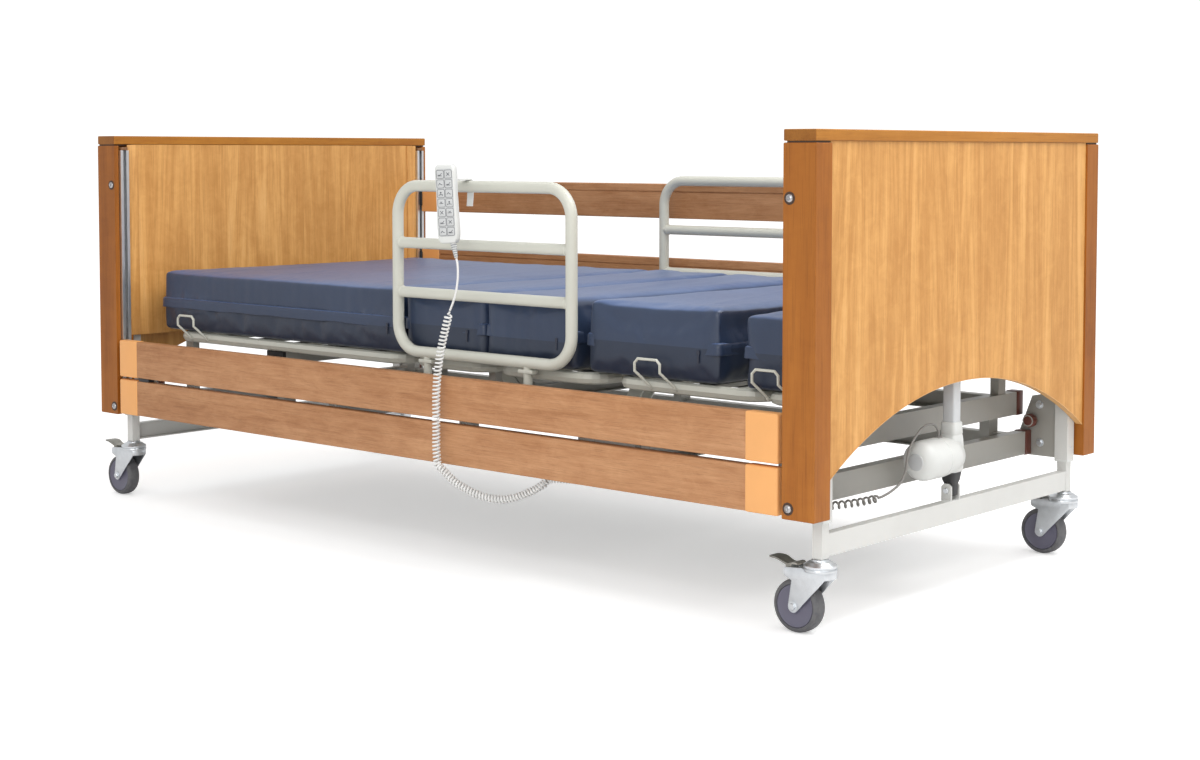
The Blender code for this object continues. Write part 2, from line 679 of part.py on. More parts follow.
def section_drive(end, y, z, tail, nose):
    """Linear drive: gearbox at the tail, side motor, and an open outer tube towards the nose."""
    gear_nose = tail - end * 0.090
    gearbox = box(*sorted((tail, gear_nose)), y - 0.032, y + 0.032, z - 0.034, z + 0.030,
                  bevel=0.004)
    lug = box(*sorted((tail - end * 0.004, tail + end * 0.030)), y - 0.010, y + 0.010,
              z - 0.012, z + 0.012)
    motor_y = y + (-1 if y < 0 else 1) * 0.058
    motor = rod((tail - end * 0.020, motor_y, z), (tail - end * 0.150, motor_y, z), 0.029, 20)
    link = box(*sorted((tail - end * 0.025, tail - end * 0.075)), *sorted((y, motor_y)),
               z - 0.018, z + 0.018)
    start, stop = sorted((gear_nose + end * 0.002, nose))
    tube = turned([(0.0180, start), (0.0180, stop), (0.0125, stop), (0.0125, start)], 16,
                  centre=(0, y, z), axis="X")
    return fused([gearbox, lug, motor, link, tube])


def section_rod(end, y, z, tail, tip):
    bar = rod((tail, y, z), (tip, y, z), 0.0100, 16)
    eye = rod((tip, y - 0.015, z), (tip, y + 0.015, z), 0.0145, 16)
    return fused([bar, eye])


# ---------------------------------------------------------------- grab rails, handset, cords
def grab_rail(hand):
    """Round-cornered tube frame with two bars and two arms down to the chassis."""
    y = hand * GRAB_Y
    loop = rounded_loop(GRAB_X[0] + TUBE, GRAB_X[1] - TUBE, GRAB_Z[0], GRAB_Z[1], GRAB_BEND)
    pieces = [bent_tube([(x, y, z) for x, z in loop], TUBE, cyclic=True)]
    for z in GRAB_BARS:
        pieces.append(rod((GRAB_X[0] + TUBE, y, z), (GRAB_X[1] - TUBE, y, z), TUBE * 0.96, 12))
    arm_low = 0.320
    for x in (0.030, 0.330):
        route = [(x, y, GRAB_Z[0]), (x, y, arm_low + 0.030), (x, y - hand * 0.008, arm_low + 0.010),
                 (x, y - hand * 0.024, arm_low), (x, hand * 0.4080, arm_low)]
        pieces.append(bent_tube(route, 0.0095, resolution=2))
    return fused(pieces)


def handset():
    """Pendant body, leaning a little, with the strain relief at its lower end."""
    width, thick, height = HANDSET_SIZE
    half_w, half_h = width / 2, height / 2
    outline = [(-half_w * 0.80, -half_h), (half_w * 0.80, -half_h), (half_w, -half_h * 0.72),
               (half_w * 0.90, half_h * 0.30), (half_w * 0.96, half_h * 0.90),
               (half_w * 0.70, half_h), (-half_w * 0.70, half_h),
               (-half_w * 0.96, half_h * 0.90), (-half_w * 0.90, half_h * 0.30),
               (-half_w, -half_h * 0.72)]
    body = prism("Y", outline, -thick / 2, thick / 2)
    relief = rod((0.0085, -0.0015, -half_h + 0.004), (0.0148, -0.0040, -half_h - 0.0315),
                 0.0068, 12, 0.0040)
    mesh = fused([body, relief])
    turn = Matrix.Rotation(HANDSET_TURN, 4, "Z") @ Matrix.Rotation(-HANDSET_LEAN, 4, "Y")
    mesh.transform(Matrix.Translation(HANDSET_AT) @ turn)
    return mesh


def handset_hook():
    """Narrow strap from the handset's back, over the grab rail's top tube and down behind it."""
    back = HANDSET_SIZE[1] / 2 + GAP
    tube_y = (-GRAB_Y - HANDSET_AT[1]) / math.cos(HANDSET_TURN)
    tube_z = GRAB_Z[1]
    wide, tall, thick, steps = 0.0170, 0.0135, 0.0034, 8
    path = [(back, tube_z - 0.044), (back, tube_z + 0.010), (back + 0.008, tube_z + tall + thick)]
    inner, outer = [], []
    for k in range(steps + 1):
        angle = math.radians(90 - 115 * k / steps)
        c, s = math.cos(angle), math.sin(angle)
        inner.append((tube_y + wide * c, tube_z + tall * s))
        outer.append((tube_y + (wide + thick) * c, tube_z + (tall + thick) * s))
    tip = [(tube_y + 0.0165, tube_z - 0.026), (tube_y + 0.0130, tube_z - 0.042),
           (tube_y + 0.0106, tube_z - 0.042), (tube_y + 0.0136, tube_z - 0.026)]
    under = [(back + 0.010, tube_z + tall), (back + thick, tube_z + 0.006),
             (back + thick, tube_z - 0.044)]
    mesh = prism("X", path + outer + tip + inner[::-1] + under, -0.007, 0.007)
    place_at = Matrix.Translation((HANDSET_AT[0], HANDSET_AT[1], 0))
    mesh.transform(place_at @ Matrix.Rotation(HANDSET_TURN, 4, "Z"))
    return mesh


def control_box():
    """Closed control box under the seat with the handset's socket below it."""
    case = box(0.380, 0.540, -0.3620, -0.2300, 0.2150, 0.2820, bevel=0.004)
    socket = rod((0.4500, -0.3000, 0.2170), (0.4500, -0.3000, 0.2000), 0.0110, 12)
    return fused([case, socket])


THIN_CORD_ROUTE = [(0.2131, -0.5490, 0.6480), (0.2166, -0.5487, 0.6335), (0.2175, -0.5495, 0.606),
                   (0.2135, -0.5512, 0.578), (0.2055, -0.5520, 0.556), (0.1966, -0.5520, 0.5398)]
HANDSET_COIL_ROUTE = [(0.1955, -0.5520, 0.5372), (0.1820, -0.5520, 0.4980),
                      (0.1690, -0.5520, 0.4560), (0.1600, -0.5520, 0.4130),
                      (0.1550, -0.5520, 0.3710), (0.1540, -0.5520, 0.3290),
                      (0.1540, -0.5520, 0.2870), (0.1540, -0.5520, 0.2460),
                      (0.1590, -0.5515, 0.2140), (0.1761, -0.5505, 0.2013),
                      (0.2075, -0.5465, 0.1802), (0.2492, -0.5365, 0.1628),
                      (0.2803, -0.5250, 0.1545), (0.3091, -0.5120, 0.1531),
                      (0.3367, -0.4990, 0.1599), (0.3652, -0.4860, 0.1729),
                      (0.3847, -0.4750, 0.1861), (0.3959, -0.4630, 0.1982),
                      (0.4180, -0.4300, 0.1930), (0.4310, -0.3850, 0.1790),
                      (0.4420, -0.3400, 0.1670), (0.4490, -0.3120, 0.1660),
                      (0.4500, -0.3000, 0.1770), (0.4500, -0.3000, 0.1985)]
MOTOR_CORD_ROUTE = [(1.0595, -0.0490, 0.3054), (1.0595, -0.0500, 0.3170), (1.0600, -0.0680, 0.3320),
                    (1.0605, -0.1000, 0.3330), (1.0605, -0.1300, 0.3190), (1.0610, -0.1560, 0.2960),
                    (1.0610, -0.1660, 0.2720), (1.0605, -0.1700, 0.2520), (1.0590, -0.1850, 0.2320),
                    (1.0560, -0.2120, 0.2190), (1.0530, -0.2380, 0.2120), (1.0520, -0.2480, 0.2110)]
MOTOR_COIL_ROUTE = [(1.0520, -0.2484, 0.2110), (1.0515, -0.2660, 0.2105), (1.0400, -0.3050, 0.2080),
                    (1.0200, -0.3500, 0.2065), (1.0040, -0.3800, 0.2060), (1.0030, -0.3930, 0.2060),
                    (1.0030, -0.4050, 0.2060)]


# ---------------------------------------------------------------- castors
def castor_fork(x, y):
    """Swivel housing with the two cheeks and the axle bolt."""
    top, low = LEG_LOW - GAP, 0.1060
    housing = turned([(0.0005, low), (HOUSING_RADIUS * 0.80, low), (HOUSING_RADIUS, low + 0.006),
                      (HOUSING_RADIUS, low + 0.011), (HOUSING_RADIUS * 0.74, top - 0.004),
                      (0.0160, top), (0.0005, top)], 20, centre=(x, y, 0))
    pieces = [housing]
    axle = x - TRAIL
    pivot_x, pivot_z = x + PEDAL_PIVOT[0], PEDAL_PIVOT[1]
    cheek = [(x + 0.0280, low + 0.0030), (x + 0.0285, low - 0.0080),
             (axle + 0.0130, AXLE_Z - 0.0020), (axle + 0.0060, AXLE_Z - 0.0110),
             (axle - 0.0060, AXLE_Z - 0.0110), (axle - 0.0120, AXLE_Z - 0.0020),
             (axle - 0.0040, 0.0860), (pivot_x - 0.0050, 0.0930), (pivot_x - 0.0070, 0.1000),
             (pivot_x - 0.0040, pivot_z + 0.0045), (x - 0.0240, 0.1120)]
    for hand in (NEAR, FAR):
        edges = sorted((y + hand * 0.0178, y + hand * 0.0203))
        pieces.append(prism("Y", cheek, *edges))
    pieces.append(rod((axle, y - 0.0240, AXLE_Z), (axle, y + 0.0240, AXLE_Z), 0.0042, 10))
    pieces.append(rod((pivot_x, y - 0.019, pivot_z), (pivot_x, y + 0.019, pivot_z), 0.0020, 8))
    for hand in (NEAR, FAR):
        pieces.append(rod((axle, y + hand * 0.0200, AXLE_Z), (axle, y + hand * 0.0250, AXLE_Z),
                          0.0075, 6))
    return fused(pieces)


def castor_wheel(x, y):
    """Tyre and moulded hub, turned about the axle."""
    half, radius = WHEEL_WIDTH / 2, WHEEL_RADIUS
    profile = [(0.0048, -half), (0.0130, -half), (0.0160, -half + 0.003), (0.0375, -half + 0.003),
               (0.0405, -half), (radius - 0.004, -half), (radius, -half + 0.006),
               (radius, half - 0.006), (radius - 0.004, half), (0.0405, half),
               (0.0375, half - 0.003), (0.0160, half - 0.003), (0.0130, half), (0.0048, half)]
    return turned(profile, 24, centre=(x - TRAIL, y, AXLE_Z), axis="Y")


def castor_pedal(x, y):
    """Brake lever: a stamped tongue over the wheel, pinned between the fork's cheeks."""
    outline = [(-0.0390, 0.1110), (-0.0390, 0.1170), (-0.0480, 0.1185), (-0.0620, 0.1150),
               (-0.0740, 0.1178), (-0.0860, 0.1228), (-PEDAL_REACH, 0.1240),
               (-PEDAL_REACH, 0.1210), (-0.0870, 0.1195), (-0.0740, 0.1130), (-0.0670, 0.1080),
               (-0.0660, 0.0995), (-0.0580, 0.0995), (-0.0560, 0.1070), (-0.0460, 0.1120)]
    tongue = prism("Y", [(x + u, z) for u, z in outline], y - 0.0160, y + 0.0160)
    centre = Vector((x + PEDAL_PIVOT[0], y, PEDAL_PIVOT[1]))
    side = Vector((0, 0.030, 0))
    return bored(tongue, [rod(centre - side, centre + side, 0.0026, 8)])


# ---------------------------------------------------------------- assembly
def clear_scene():
    for obj in list(bpy.data.objects):
        bpy.data.objects.remove(obj)


def add_body(name, pivot, members, parent, parent_pivot=(0, 0, 0)):
    """Hang the members on an empty whose origin is on the joint's axis."""
    empty = bpy.data.objects.new(name + "_pivot", None)
    bpy.context.scene.collection.objects.link(empty)
    empty.parent = parent
    empty.location = Vector(pivot) - Vector(parent_pivot)
    for member in members:
        member.parent = empty
        member.location = -Vector(pivot)
    return empty


def cord(name, route, radius, material, spacing):
    obj = curve_object(name, smooth_route(route, spacing), radius)
    obj.data.materials.append(material)
    return obj


def build():
    clear_scene()
    oak = make_material("oak_panel", (0.66, 0.42, 0.19), 0.45)
    post_wood = make_material("stained_timber", (0.42, 0.19, 0.06), 0.38)
    rail_wood = make_material("walnut_rail", (0.36, 0.19, 0.10), 0.42)
    aluminium = make_material("aluminium", (0.75, 0.75, 0.74), 0.32, 1.0)
    cream = make_material("cream_paint", (0.72, 0.70, 0.64), 0.40)
    grey_paint = make_material("grey_paint", (0.50, 0.49, 0.46), 0.42)
    zinc = make_material("zinc", (0.68, 0.70, 0.72), 0.30, 1.0)
    white = make_material("white_plastic", (0.82, 0.83, 0.82), 0.42)
    black = make_material("black_plastic", (0.03, 0.03, 0.035), 0.45)
    navy = make_material("navy_cover", (0.05, 0.08, 0.19), 0.55)
    wheel_rubber = make_material("grey_tyre", (0.16, 0.16, 0.18), 0.60)
    cord_white = make_material("white_cord", (0.85, 0.85, 0.84), 0.45)
    cord_grey = make_material("grey_cord", (0.30, 0.31, 0.33), 0.50)

    root = bpy.data.objects.new("foot_base_pivot", None)
    bpy.context.scene.collection.objects.link(root)
    root.location = (-FOOTPRINT_X, -FOOTPRINT_Y, DATUM)
    end_names = {HEAD: "head", FOOT: "foot"}
    hand_names = {NEAR: "near", FAR: "far"}

    for member in (place("foot_leg_frame", leg_frame(FOOT), cream),
                   place("foot_lift_drive", lift_drive(FOOT), white, smooth=True),
                   cord("lift_cord", MOTOR_CORD_ROUTE, 0.0026, cord_grey, 0.007),
                   cord("lift_cord_coil", MOTOR_COIL_ROUTE, MOTOR_COIL_RADIUS, cord_grey, 0.016)):
        member.parent = root

    platform_parts = [place("chassis", chassis(), grey_paint),
                      place("seat_frame", seat_frame(), cream, smooth=True),
                      place("control_box", control_box(), black)]
    for end in (HEAD, FOOT):
        tag = end_names[end]
        platform_parts += [place(tag + "_panel", end_panel(end), oak),
                           place(tag + "_cap_rail", cap_rail(end), post_wood),
                           place(tag + "_end_frame", end_frame(end), grey_paint),
                           place(tag + "_lift_rod", lift_rod(end), aluminium, smooth=True)]
        for hand in (NEAR, FAR):
            label = tag + "_" + hand_names[hand]
            platform_parts += [place(label + "_post", post(end, hand), post_wood),
                               place(label + "_channel", guide_channel(end, hand), aluminium)]
    seat_low = BACK_HINGE_X + fold_offset(BACK_RANGE, MATTRESS_LOW)
    seat_low_top = BACK_HINGE_X + fold_offset(BACK_RANGE, MATTRESS_HIGH)
    seat_high = THIGH_HINGE_X - fold_offset(THIGH_RANGE, MATTRESS_LOW)
    seat_high_top = THIGH_HINGE_X - fold_offset(THIGH_RANGE, MATTRESS_HIGH)
    platform_parts += [
        place("seat_mattress", pad(seat_low, seat_high, seat_low_top, seat_high_top), navy),
        place("near_grab_rail", grab_rail(NEAR), cream, smooth=True),
        place("far_grab_rail", grab_rail(FAR), cream, smooth=True),
        place("handset", handset(), white),
        place("handset_hook", handset_hook(), white),
        place("backrest_drive", section_drive(1, BACK_DRIVE_Y, BACK_DRIVE_Z, 0.540, 0.060), black,
              smooth=True),
        place("thigh_drive", section_drive(-1, THIGH_DRIVE_Y, THIGH_DRIVE_Z, -0.320, 0.100), black,
              smooth=True),
        cord("handset_cord", THIN_CORD_ROUTE, CORD_RADIUS, cord_white, 0.006),
        cord("handset_coil", HANDSET_COIL_ROUTE, COIL_RADIUS, cord_white, 0.020)]
    platform = add_body("platform", (0, 0, 0), platform_parts, root)

    head_base = add_body("head_base", (-LEG_X, 0, 0), [
        place("head_leg_frame", leg_frame(HEAD), cream),
        place("head_lift_drive", lift_drive(HEAD), white, smooth=True)], platform)

    back_x = BACK_HINGE_X - fold_offset(BACK_RANGE, MATTRESS_LOW)
    back_top = BACK_HINGE_X - fold_offset(BACK_RANGE, MATTRESS_HIGH)
    add_body("backrest", (BACK_HINGE_X, 0, FRAME_Z), [
        place("backrest_frame", backrest_frame(), cream, smooth=True),
        place("backrest_mattress", pad(MATTRESS_HEAD, back_x, MATTRESS_HEAD, back_top), navy)],
        platform)
    thigh_x = THIGH_HINGE_X + fold_offset(THIGH_RANGE, MATTRESS_LOW)
    thigh_top = THIGH_HINGE_X + fold_offset(THIGH_RANGE, MATTRESS_HIGH)
    thigh_pivot = (THIGH_HINGE_X, 0, FRAME_Z)
    thigh = add_body("thigh", thigh_pivot, [
        place("thigh_frame", thigh_frame(), cream, smooth=True),
        place("thigh_mattress", pad(thigh_x, THIGH_PAD_END, thigh_top, THIGH_PAD_END), navy)],
        platform)
    add_body("calf", (CALF_HINGE_X, 0, FRAME_Z), [
        place("calf_frame", calf_frame(), cream, smooth=True),
        place("calf_mattress", pad(*CALF_PAD, *CALF_PAD), navy),
        place("infill_mattress", pad(*INFILL_PAD, *INFILL_PAD), navy)], thigh, thigh_pivot)

    add_body("backrest_ram", (BACK_ROD_TIP, BACK_DRIVE_Y, BACK_DRIVE_Z), [
        place("backrest_drive_rod",
              section_rod(1, BACK_DRIVE_Y, BACK_DRIVE_Z, 0.350, BACK_ROD_TIP), aluminium,
              smooth=True)], platform)
    add_body("thigh_ram", (THIGH_ROD_TIP, THIGH_DRIVE_Y, THIGH_DRIVE_Z), [
        place("thigh_drive_rod",
              section_rod(-1, THIGH_DRIVE_Y, THIGH_DRIVE_Z, -0.060, THIGH_ROD_TIP), aluminium,
              smooth=True)], platform)

    for hand, raised in ((NEAR, False), (FAR, True)):
        label = hand_names[hand]
        upper_lift = UPPER_LIFT if raised else 0.0
        lower_lift = LOWER_LIFT if raised else 0.0
        add_body(label + "_upper_rail", (0, hand * SIDE_OUT, UPPER_RAIL[0] + upper_lift), [
            place(label + "_upper_rail", side_rail(hand, UPPER_RAIL, upper_lift), rail_wood)],
            platform)
        add_body(label + "_lower_rail", (0, hand * SIDE_OUT, LOWER_RAIL[0] + lower_lift), [
            place(label + "_lower_rail", side_rail(hand, LOWER_RAIL, lower_lift), rail_wood)],
            platform)

    for end, base, base_pivot in ((HEAD, head_base, (-LEG_X, 0, 0)), (FOOT, root, (0, 0, 0))):
        for hand in (NEAR, FAR):
            label = end_names[end] + "_" + hand_names[hand]
            x, y = end * LEG_X, hand * LEG_Y
            stem = (x, y, LEG_LOW)
            fork = add_body(label + "_castor", stem, [
                place(label + "_castor_fork", castor_fork(x, y), zinc, smooth=True)], base,
                base_pivot)
            add_body(label + "_wheel", (x - TRAIL, y, AXLE_Z), [
                place(label + "_wheel", castor_wheel(x, y), wheel_rubber, smooth=True)], fork,
                stem)
            add_body(label + "_pedal", (x + PEDAL_PIVOT[0], y, PEDAL_PIVOT[1]), [
                place(label + "_pedal", castor_pedal(x, y), zinc)], fork, stem)


build()
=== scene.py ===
"""Looks of the adjustable nursing bed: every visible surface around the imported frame.

Places are written about the bed's own centre plane and height datum, as in the part's source,
and moved by ORIGIN to the row frame, whose origin is the middle of the footprint on the floor.
"""
import math
import random

import bmesh
import bpy
from mathutils import Matrix, Vector, noise


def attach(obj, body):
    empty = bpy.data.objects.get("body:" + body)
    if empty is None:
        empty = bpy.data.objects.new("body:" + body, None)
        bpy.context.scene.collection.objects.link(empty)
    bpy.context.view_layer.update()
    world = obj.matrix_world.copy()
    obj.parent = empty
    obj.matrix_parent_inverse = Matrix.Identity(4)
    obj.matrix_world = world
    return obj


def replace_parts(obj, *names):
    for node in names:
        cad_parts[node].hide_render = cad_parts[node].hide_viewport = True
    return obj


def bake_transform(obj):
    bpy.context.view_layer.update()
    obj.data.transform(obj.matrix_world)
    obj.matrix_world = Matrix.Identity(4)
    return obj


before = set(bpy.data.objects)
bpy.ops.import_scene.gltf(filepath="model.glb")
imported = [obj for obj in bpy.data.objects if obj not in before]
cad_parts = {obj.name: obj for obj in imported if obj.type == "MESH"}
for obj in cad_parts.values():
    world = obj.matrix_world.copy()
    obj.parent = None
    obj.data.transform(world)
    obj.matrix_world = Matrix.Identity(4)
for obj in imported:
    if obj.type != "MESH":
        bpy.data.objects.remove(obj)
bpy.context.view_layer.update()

ORIGIN = Vector((0.035, 0.0208, 0.012))
HEAD, FOOT = -1, 1
NEAR, FAR = -1, 1
END_NAMES = {HEAD: "head", FOOT: "foot"}
HAND_NAMES = {NEAR: "near", FAR: "far"}

BACK_HINGE_X, THIGH_HINGE_X, CALF_HINGE_X = -0.075, 0.185, 0.5125
MATTRESS_LOW, MATTRESS_HIGH, MATTRESS_HALF = 0.4205, 0.568, 0.437
LEG_X, LEG_Y = 1.065, 0.46
COLUMN_X = 1.0595
GRAB_Y = 0.458
WHEEL_RADIUS = 0.05
AXLE_Z = 0.038
TRAIL = 0.046
FLOOR_GLOW, WORLD_LIGHT, WORLD_SEEN = 0.38, 0.84, 1.1
FLAP_Z = 0.4855
COVER_CELL, COVER_PRESSURE, COVER_PUFF = 0.01, 3.2, 0.0045


# ---------------------------------------------------------------- node graphs
class Graph:
    """A material's node graph, built by short calls."""

    def __init__(self, name, color=(0.8, 0.8, 0.8), rough=0.5, metal=0.0):
        self.material = bpy.data.materials.new(name)
        self.material.use_nodes = True
        self.tree = self.material.node_tree
        self.shader = self.tree.nodes["Principled BSDF"]
        self.set(base=color, rough=rough, metal=metal)
        self.coords = self.add("ShaderNodeTexCoord").outputs["Object"]

    def add(self, kind, **values):
        node = self.tree.nodes.new(kind)
        for key, value in values.items():
            setattr(node, key, value)
        return node

    def feed(self, socket, value):
        if isinstance(value, bpy.types.NodeSocket):
            self.tree.links.new(value, socket)
        elif isinstance(value, (tuple, list)) and len(value) == 3 and socket.type == "RGBA":
            socket.default_value = (*value, 1.0)
        else:
            socket.default_value = value

    def set(self, base=None, rough=None, metal=None, coat=None, coat_rough=None, sheen=None,
            specular=None, normal=None):
        names = (("Base Color", base), ("Roughness", rough), ("Metallic", metal),
                 ("Coat Weight", coat), ("Coat Roughness", coat_rough),
                 ("Sheen Weight", sheen), ("Specular IOR Level", specular), ("Normal", normal))
        for name, value in names:
            if value is not None:
                self.feed(self.shader.inputs[name], value)
        return self

    def scaled(self, scale, turn=(0, 0, 0), source=None):
        node = self.add("ShaderNodeMapping")
        self.feed(node.inputs["Vector"], source or self.coords)
        node.inputs["Scale"].default_value = scale
        node.inputs["Rotation"].default_value = turn
        return node.outputs["Vector"]

    def noise(self, scale, detail=4.0, rough=0.55, stretch=(1, 1, 1), distort=0.0, source=None):
        node = self.add("ShaderNodeTexNoise")
        self.feed(node.inputs["Vector"], self.scaled(stretch, source=source))
        node.inputs["Scale"].default_value = scale
        node.inputs["Detail"].default_value = detail
        node.inputs["Roughness"].default_value = rough
        node.inputs["Distortion"].default_value = distort
        return node.outputs["Fac"]

    def ramp(self, value, *stops):
        node = self.add("ShaderNodeValToRGB")
        elements = node.color_ramp.elements
        while len(elements) < len(stops):
            elements.new(0.5)
        for element, (position, color) in zip(elements, stops):
            element.position = position
            if not isinstance(color, (tuple, list)):
                color = (color, color, color)
            element.color = (*color, 1.0)
        self.feed(node.inputs["Fac"], value)
        return node.outputs["Color"]

    def math(self, operation, a, b=0.0, c=0.0):
        node = self.add("ShaderNodeMath", operation=operation)
        for socket, value in zip(node.inputs, (a, b, c)):
            self.feed(socket, value)
        return node.outputs[0]

    def mix(self, factor, a, b, blend="MIX"):
        node = self.add("ShaderNodeMix", data_type="RGBA", blend_type=blend)
        self.feed(node.inputs[0], factor)
        self.feed(node.inputs[6], a)
        self.feed(node.inputs[7], b)
        return node.outputs[2]

    def bump(self, height, strength=0.3, distance=0.001, normal=None):
        node = self.add("ShaderNodeBump")
        self.feed(node.inputs["Height"], height)
        node.inputs["Strength"].default_value = strength
        node.inputs["Distance"].default_value = distance
        if normal is not None:
            self.feed(node.inputs["Normal"], normal)
        return node.outputs["Normal"]

    def axis(self, letter, source=None):
        node = self.add("ShaderNodeSeparateXYZ")
        self.feed(node.inputs[0], source or self.coords)
        return node.outputs[letter]

    def facing(self, letter):
        return self.axis(letter, self.add("ShaderNodeTexCoord").outputs["Normal"])


def stretched(along, factor):
    """Texture scale that draws a pattern out along one axis, or along none."""
    return [factor if letter == along else 1.0 for letter in "XYZ"]


def board_grain(name, along, dark, middle, light, board=None, coat=0.25, rough=0.42, ring=9.0,
                turns=5.5, fibre=0.0, pore=420.0):
    """Veneer or solid timber: long figure, fine fibres and pores and, if asked, joined boards."""
    graph = Graph(name)
    across = {"X": "YZ", "Y": "XZ", "Z": "XY"}[along]
    shift = graph.coords
    tone = graph.noise(1.3, 2.0, 0.5)
    if board:
        lane = graph.math("FLOOR", graph.math("DIVIDE", graph.axis(across[0]), board))
        pick = graph.add("ShaderNodeTexWhiteNoise", noise_dimensions="1D")
        graph.feed(pick.inputs["W"], lane)
        tone = graph.math("MULTIPLY_ADD", pick.outputs["Value"], 0.75,
                          graph.math("MULTIPLY", tone, 0.25))
        move = graph.add("ShaderNodeVectorMath", operation="MULTIPLY_ADD")
        graph.feed(move.inputs[0], pick.outputs["Color"])
        move.inputs[1].default_value = (0.0, 0.0, 3.0)
        graph.feed(move.inputs[2], graph.coords)
        shift = move.outputs[0]
    figure = graph.noise(ring, 5.0, 0.58, stretched(along, 0.07), 0.9, shift)
    bands = graph.math("PINGPONG", graph.math("MULTIPLY", figure, turns), 1.0)
    pores = graph.noise(pore, 2.0, 0.6, stretched(along, 0.018), 0.0, shift)
    if fibre:
        strands = graph.noise(150.0, 6.0, 0.75, stretched(along, 0.045), 0.3, shift)
        mottle = graph.noise(26.0, 5.0, 0.7, (0.45, 1.0, 1.0), 0.6, shift)
        bands = graph.math("ADD", graph.math("MULTIPLY", bands, 1.0 - fibre),
                           graph.math("MULTIPLY", graph.math("ADD", strands, mottle), fibre / 2))
        bands = graph.math("MULTIPLY_ADD", bands, 2.2, -0.6)
    base = graph.ramp(bands, (0.0, dark), (0.45, middle), (1.0, light))
    base = graph.mix(graph.math("MULTIPLY", graph.math("GREATER_THAN", pores, 0.6), 0.25), base,
                     tuple(value * 0.62 for value in dark))
    cut_end = graph.math("GREATER_THAN", graph.math("ABSOLUTE", graph.facing(along)), 0.8)
    base = graph.mix(cut_end, base, (0.62, 0.56, 0.52), "MULTIPLY")
    wash = graph.ramp(tone, (0.15, (0.86, 0.84, 0.8)), (0.85, (1.1, 1.1, 1.1)))
    base = graph.mix(1.0, base, wash, "MULTIPLY")
    height = graph.math("ADD", graph.math("MULTIPLY", pores, -0.5), graph.math("MULTIPLY", bands,
                                                                              0.25))
    roughness = graph.math("MULTIPLY_ADD", pores, 0.16, rough - 0.08)
    graph.set(base=base, rough=roughness, coat=coat, coat_rough=0.28, specular=0.3,
              normal=graph.bump(height, 0.22, 0.0004))
    return graph.material


def powder_coat(graph, worn, rough):
    """Faint orange peel and handling marks over a base colour."""
    rub = graph.noise(38.0, 6.0, 0.7)
    graph.set(base=worn, rough=graph.math("MULTIPLY_ADD", rub, 0.22, rough - 0.11), coat=0.15,
              coat_rough=0.2, normal=graph.bump(graph.noise(900.0, 2.0, 0.5), 0.12, 0.0003))
    return graph.material


def painted(name, color, rough=0.38):
    """Powder coat with slight shade changes."""
    graph = Graph(name, color, rough)
    cloud = graph.noise(6.0, 5.0, 0.6)
    worn = graph.ramp(cloud, (0.3, tuple(value * 0.93 for value in color)), (0.7, color))
    return powder_coat(graph, worn, rough)


def two_tone(name, color, other, rough=0.38):
    """Powder coat whose chassis plates, inboard of the sleeves, have the chassis' own shade."""
    graph = Graph(name, color, rough)
    inside = []
    for letter, centre, limit in (("X", ORIGIN.x, 1.0495), ("Y", ORIGIN.y, 0.4549)):
        offset = graph.math("ABSOLUTE", graph.math("SUBTRACT", graph.axis(letter), centre))
        inside.append(graph.math("LESS_THAN", offset, limit))
    inside.append(graph.math("LESS_THAN", graph.axis("Z"), 0.345 + ORIGIN.z))
    plate_part = graph.math("MULTIPLY", graph.math("MULTIPLY", *inside[:2]), inside[2])
    cloud = graph.noise(6.0, 5.0, 0.6)
    shade = graph.mix(plate_part, color, other)
    worn = graph.mix(graph.math("MULTIPLY", cloud, 0.12), shade, (0.2, 0.2, 0.18))
    return powder_coat(graph, worn, rough)


def metal(name, color, rough, along=None, grain=0.1, cloud_amount=0.12):
    """Bare or plated metal, with drawn lines along one axis or a spangled cloud."""
    graph = Graph(name, color, rough, 1.0)
    lines = graph.noise(700.0, 2.0, 0.5, stretched(along, 0.02))
    cloud = graph.noise(45.0, 4.0, 0.6)
    base = graph.ramp(cloud, (0.25, tuple(value * (1 - cloud_amount) for value in color)),
                      (0.75, color))
    graph.set(base=base, rough=graph.math("MULTIPLY_ADD", lines, 0.25, rough - 0.1),
              normal=graph.bump(lines, grain, 0.0003))
    return graph.material


def moulded(name, color, rough=0.42, grain=0.1):
    """Injection-moulded plastic with a fine spark-eroded texture."""
    graph = Graph(name, color, rough)
    cloud = graph.noise(14.0, 4.0, 0.6)
    base = graph.ramp(cloud, (0.3, tuple(value * 0.94 for value in color)), (0.7, color))
    texture = graph.noise(1400.0, 2.0, 0.5)
    graph.set(base=base, rough=graph.math("MULTIPLY_ADD", cloud, 0.12, rough - 0.06), coat=0.0,
              coat_rough=0.15, normal=graph.bump(texture, grain, 0.0002))
    return graph.material


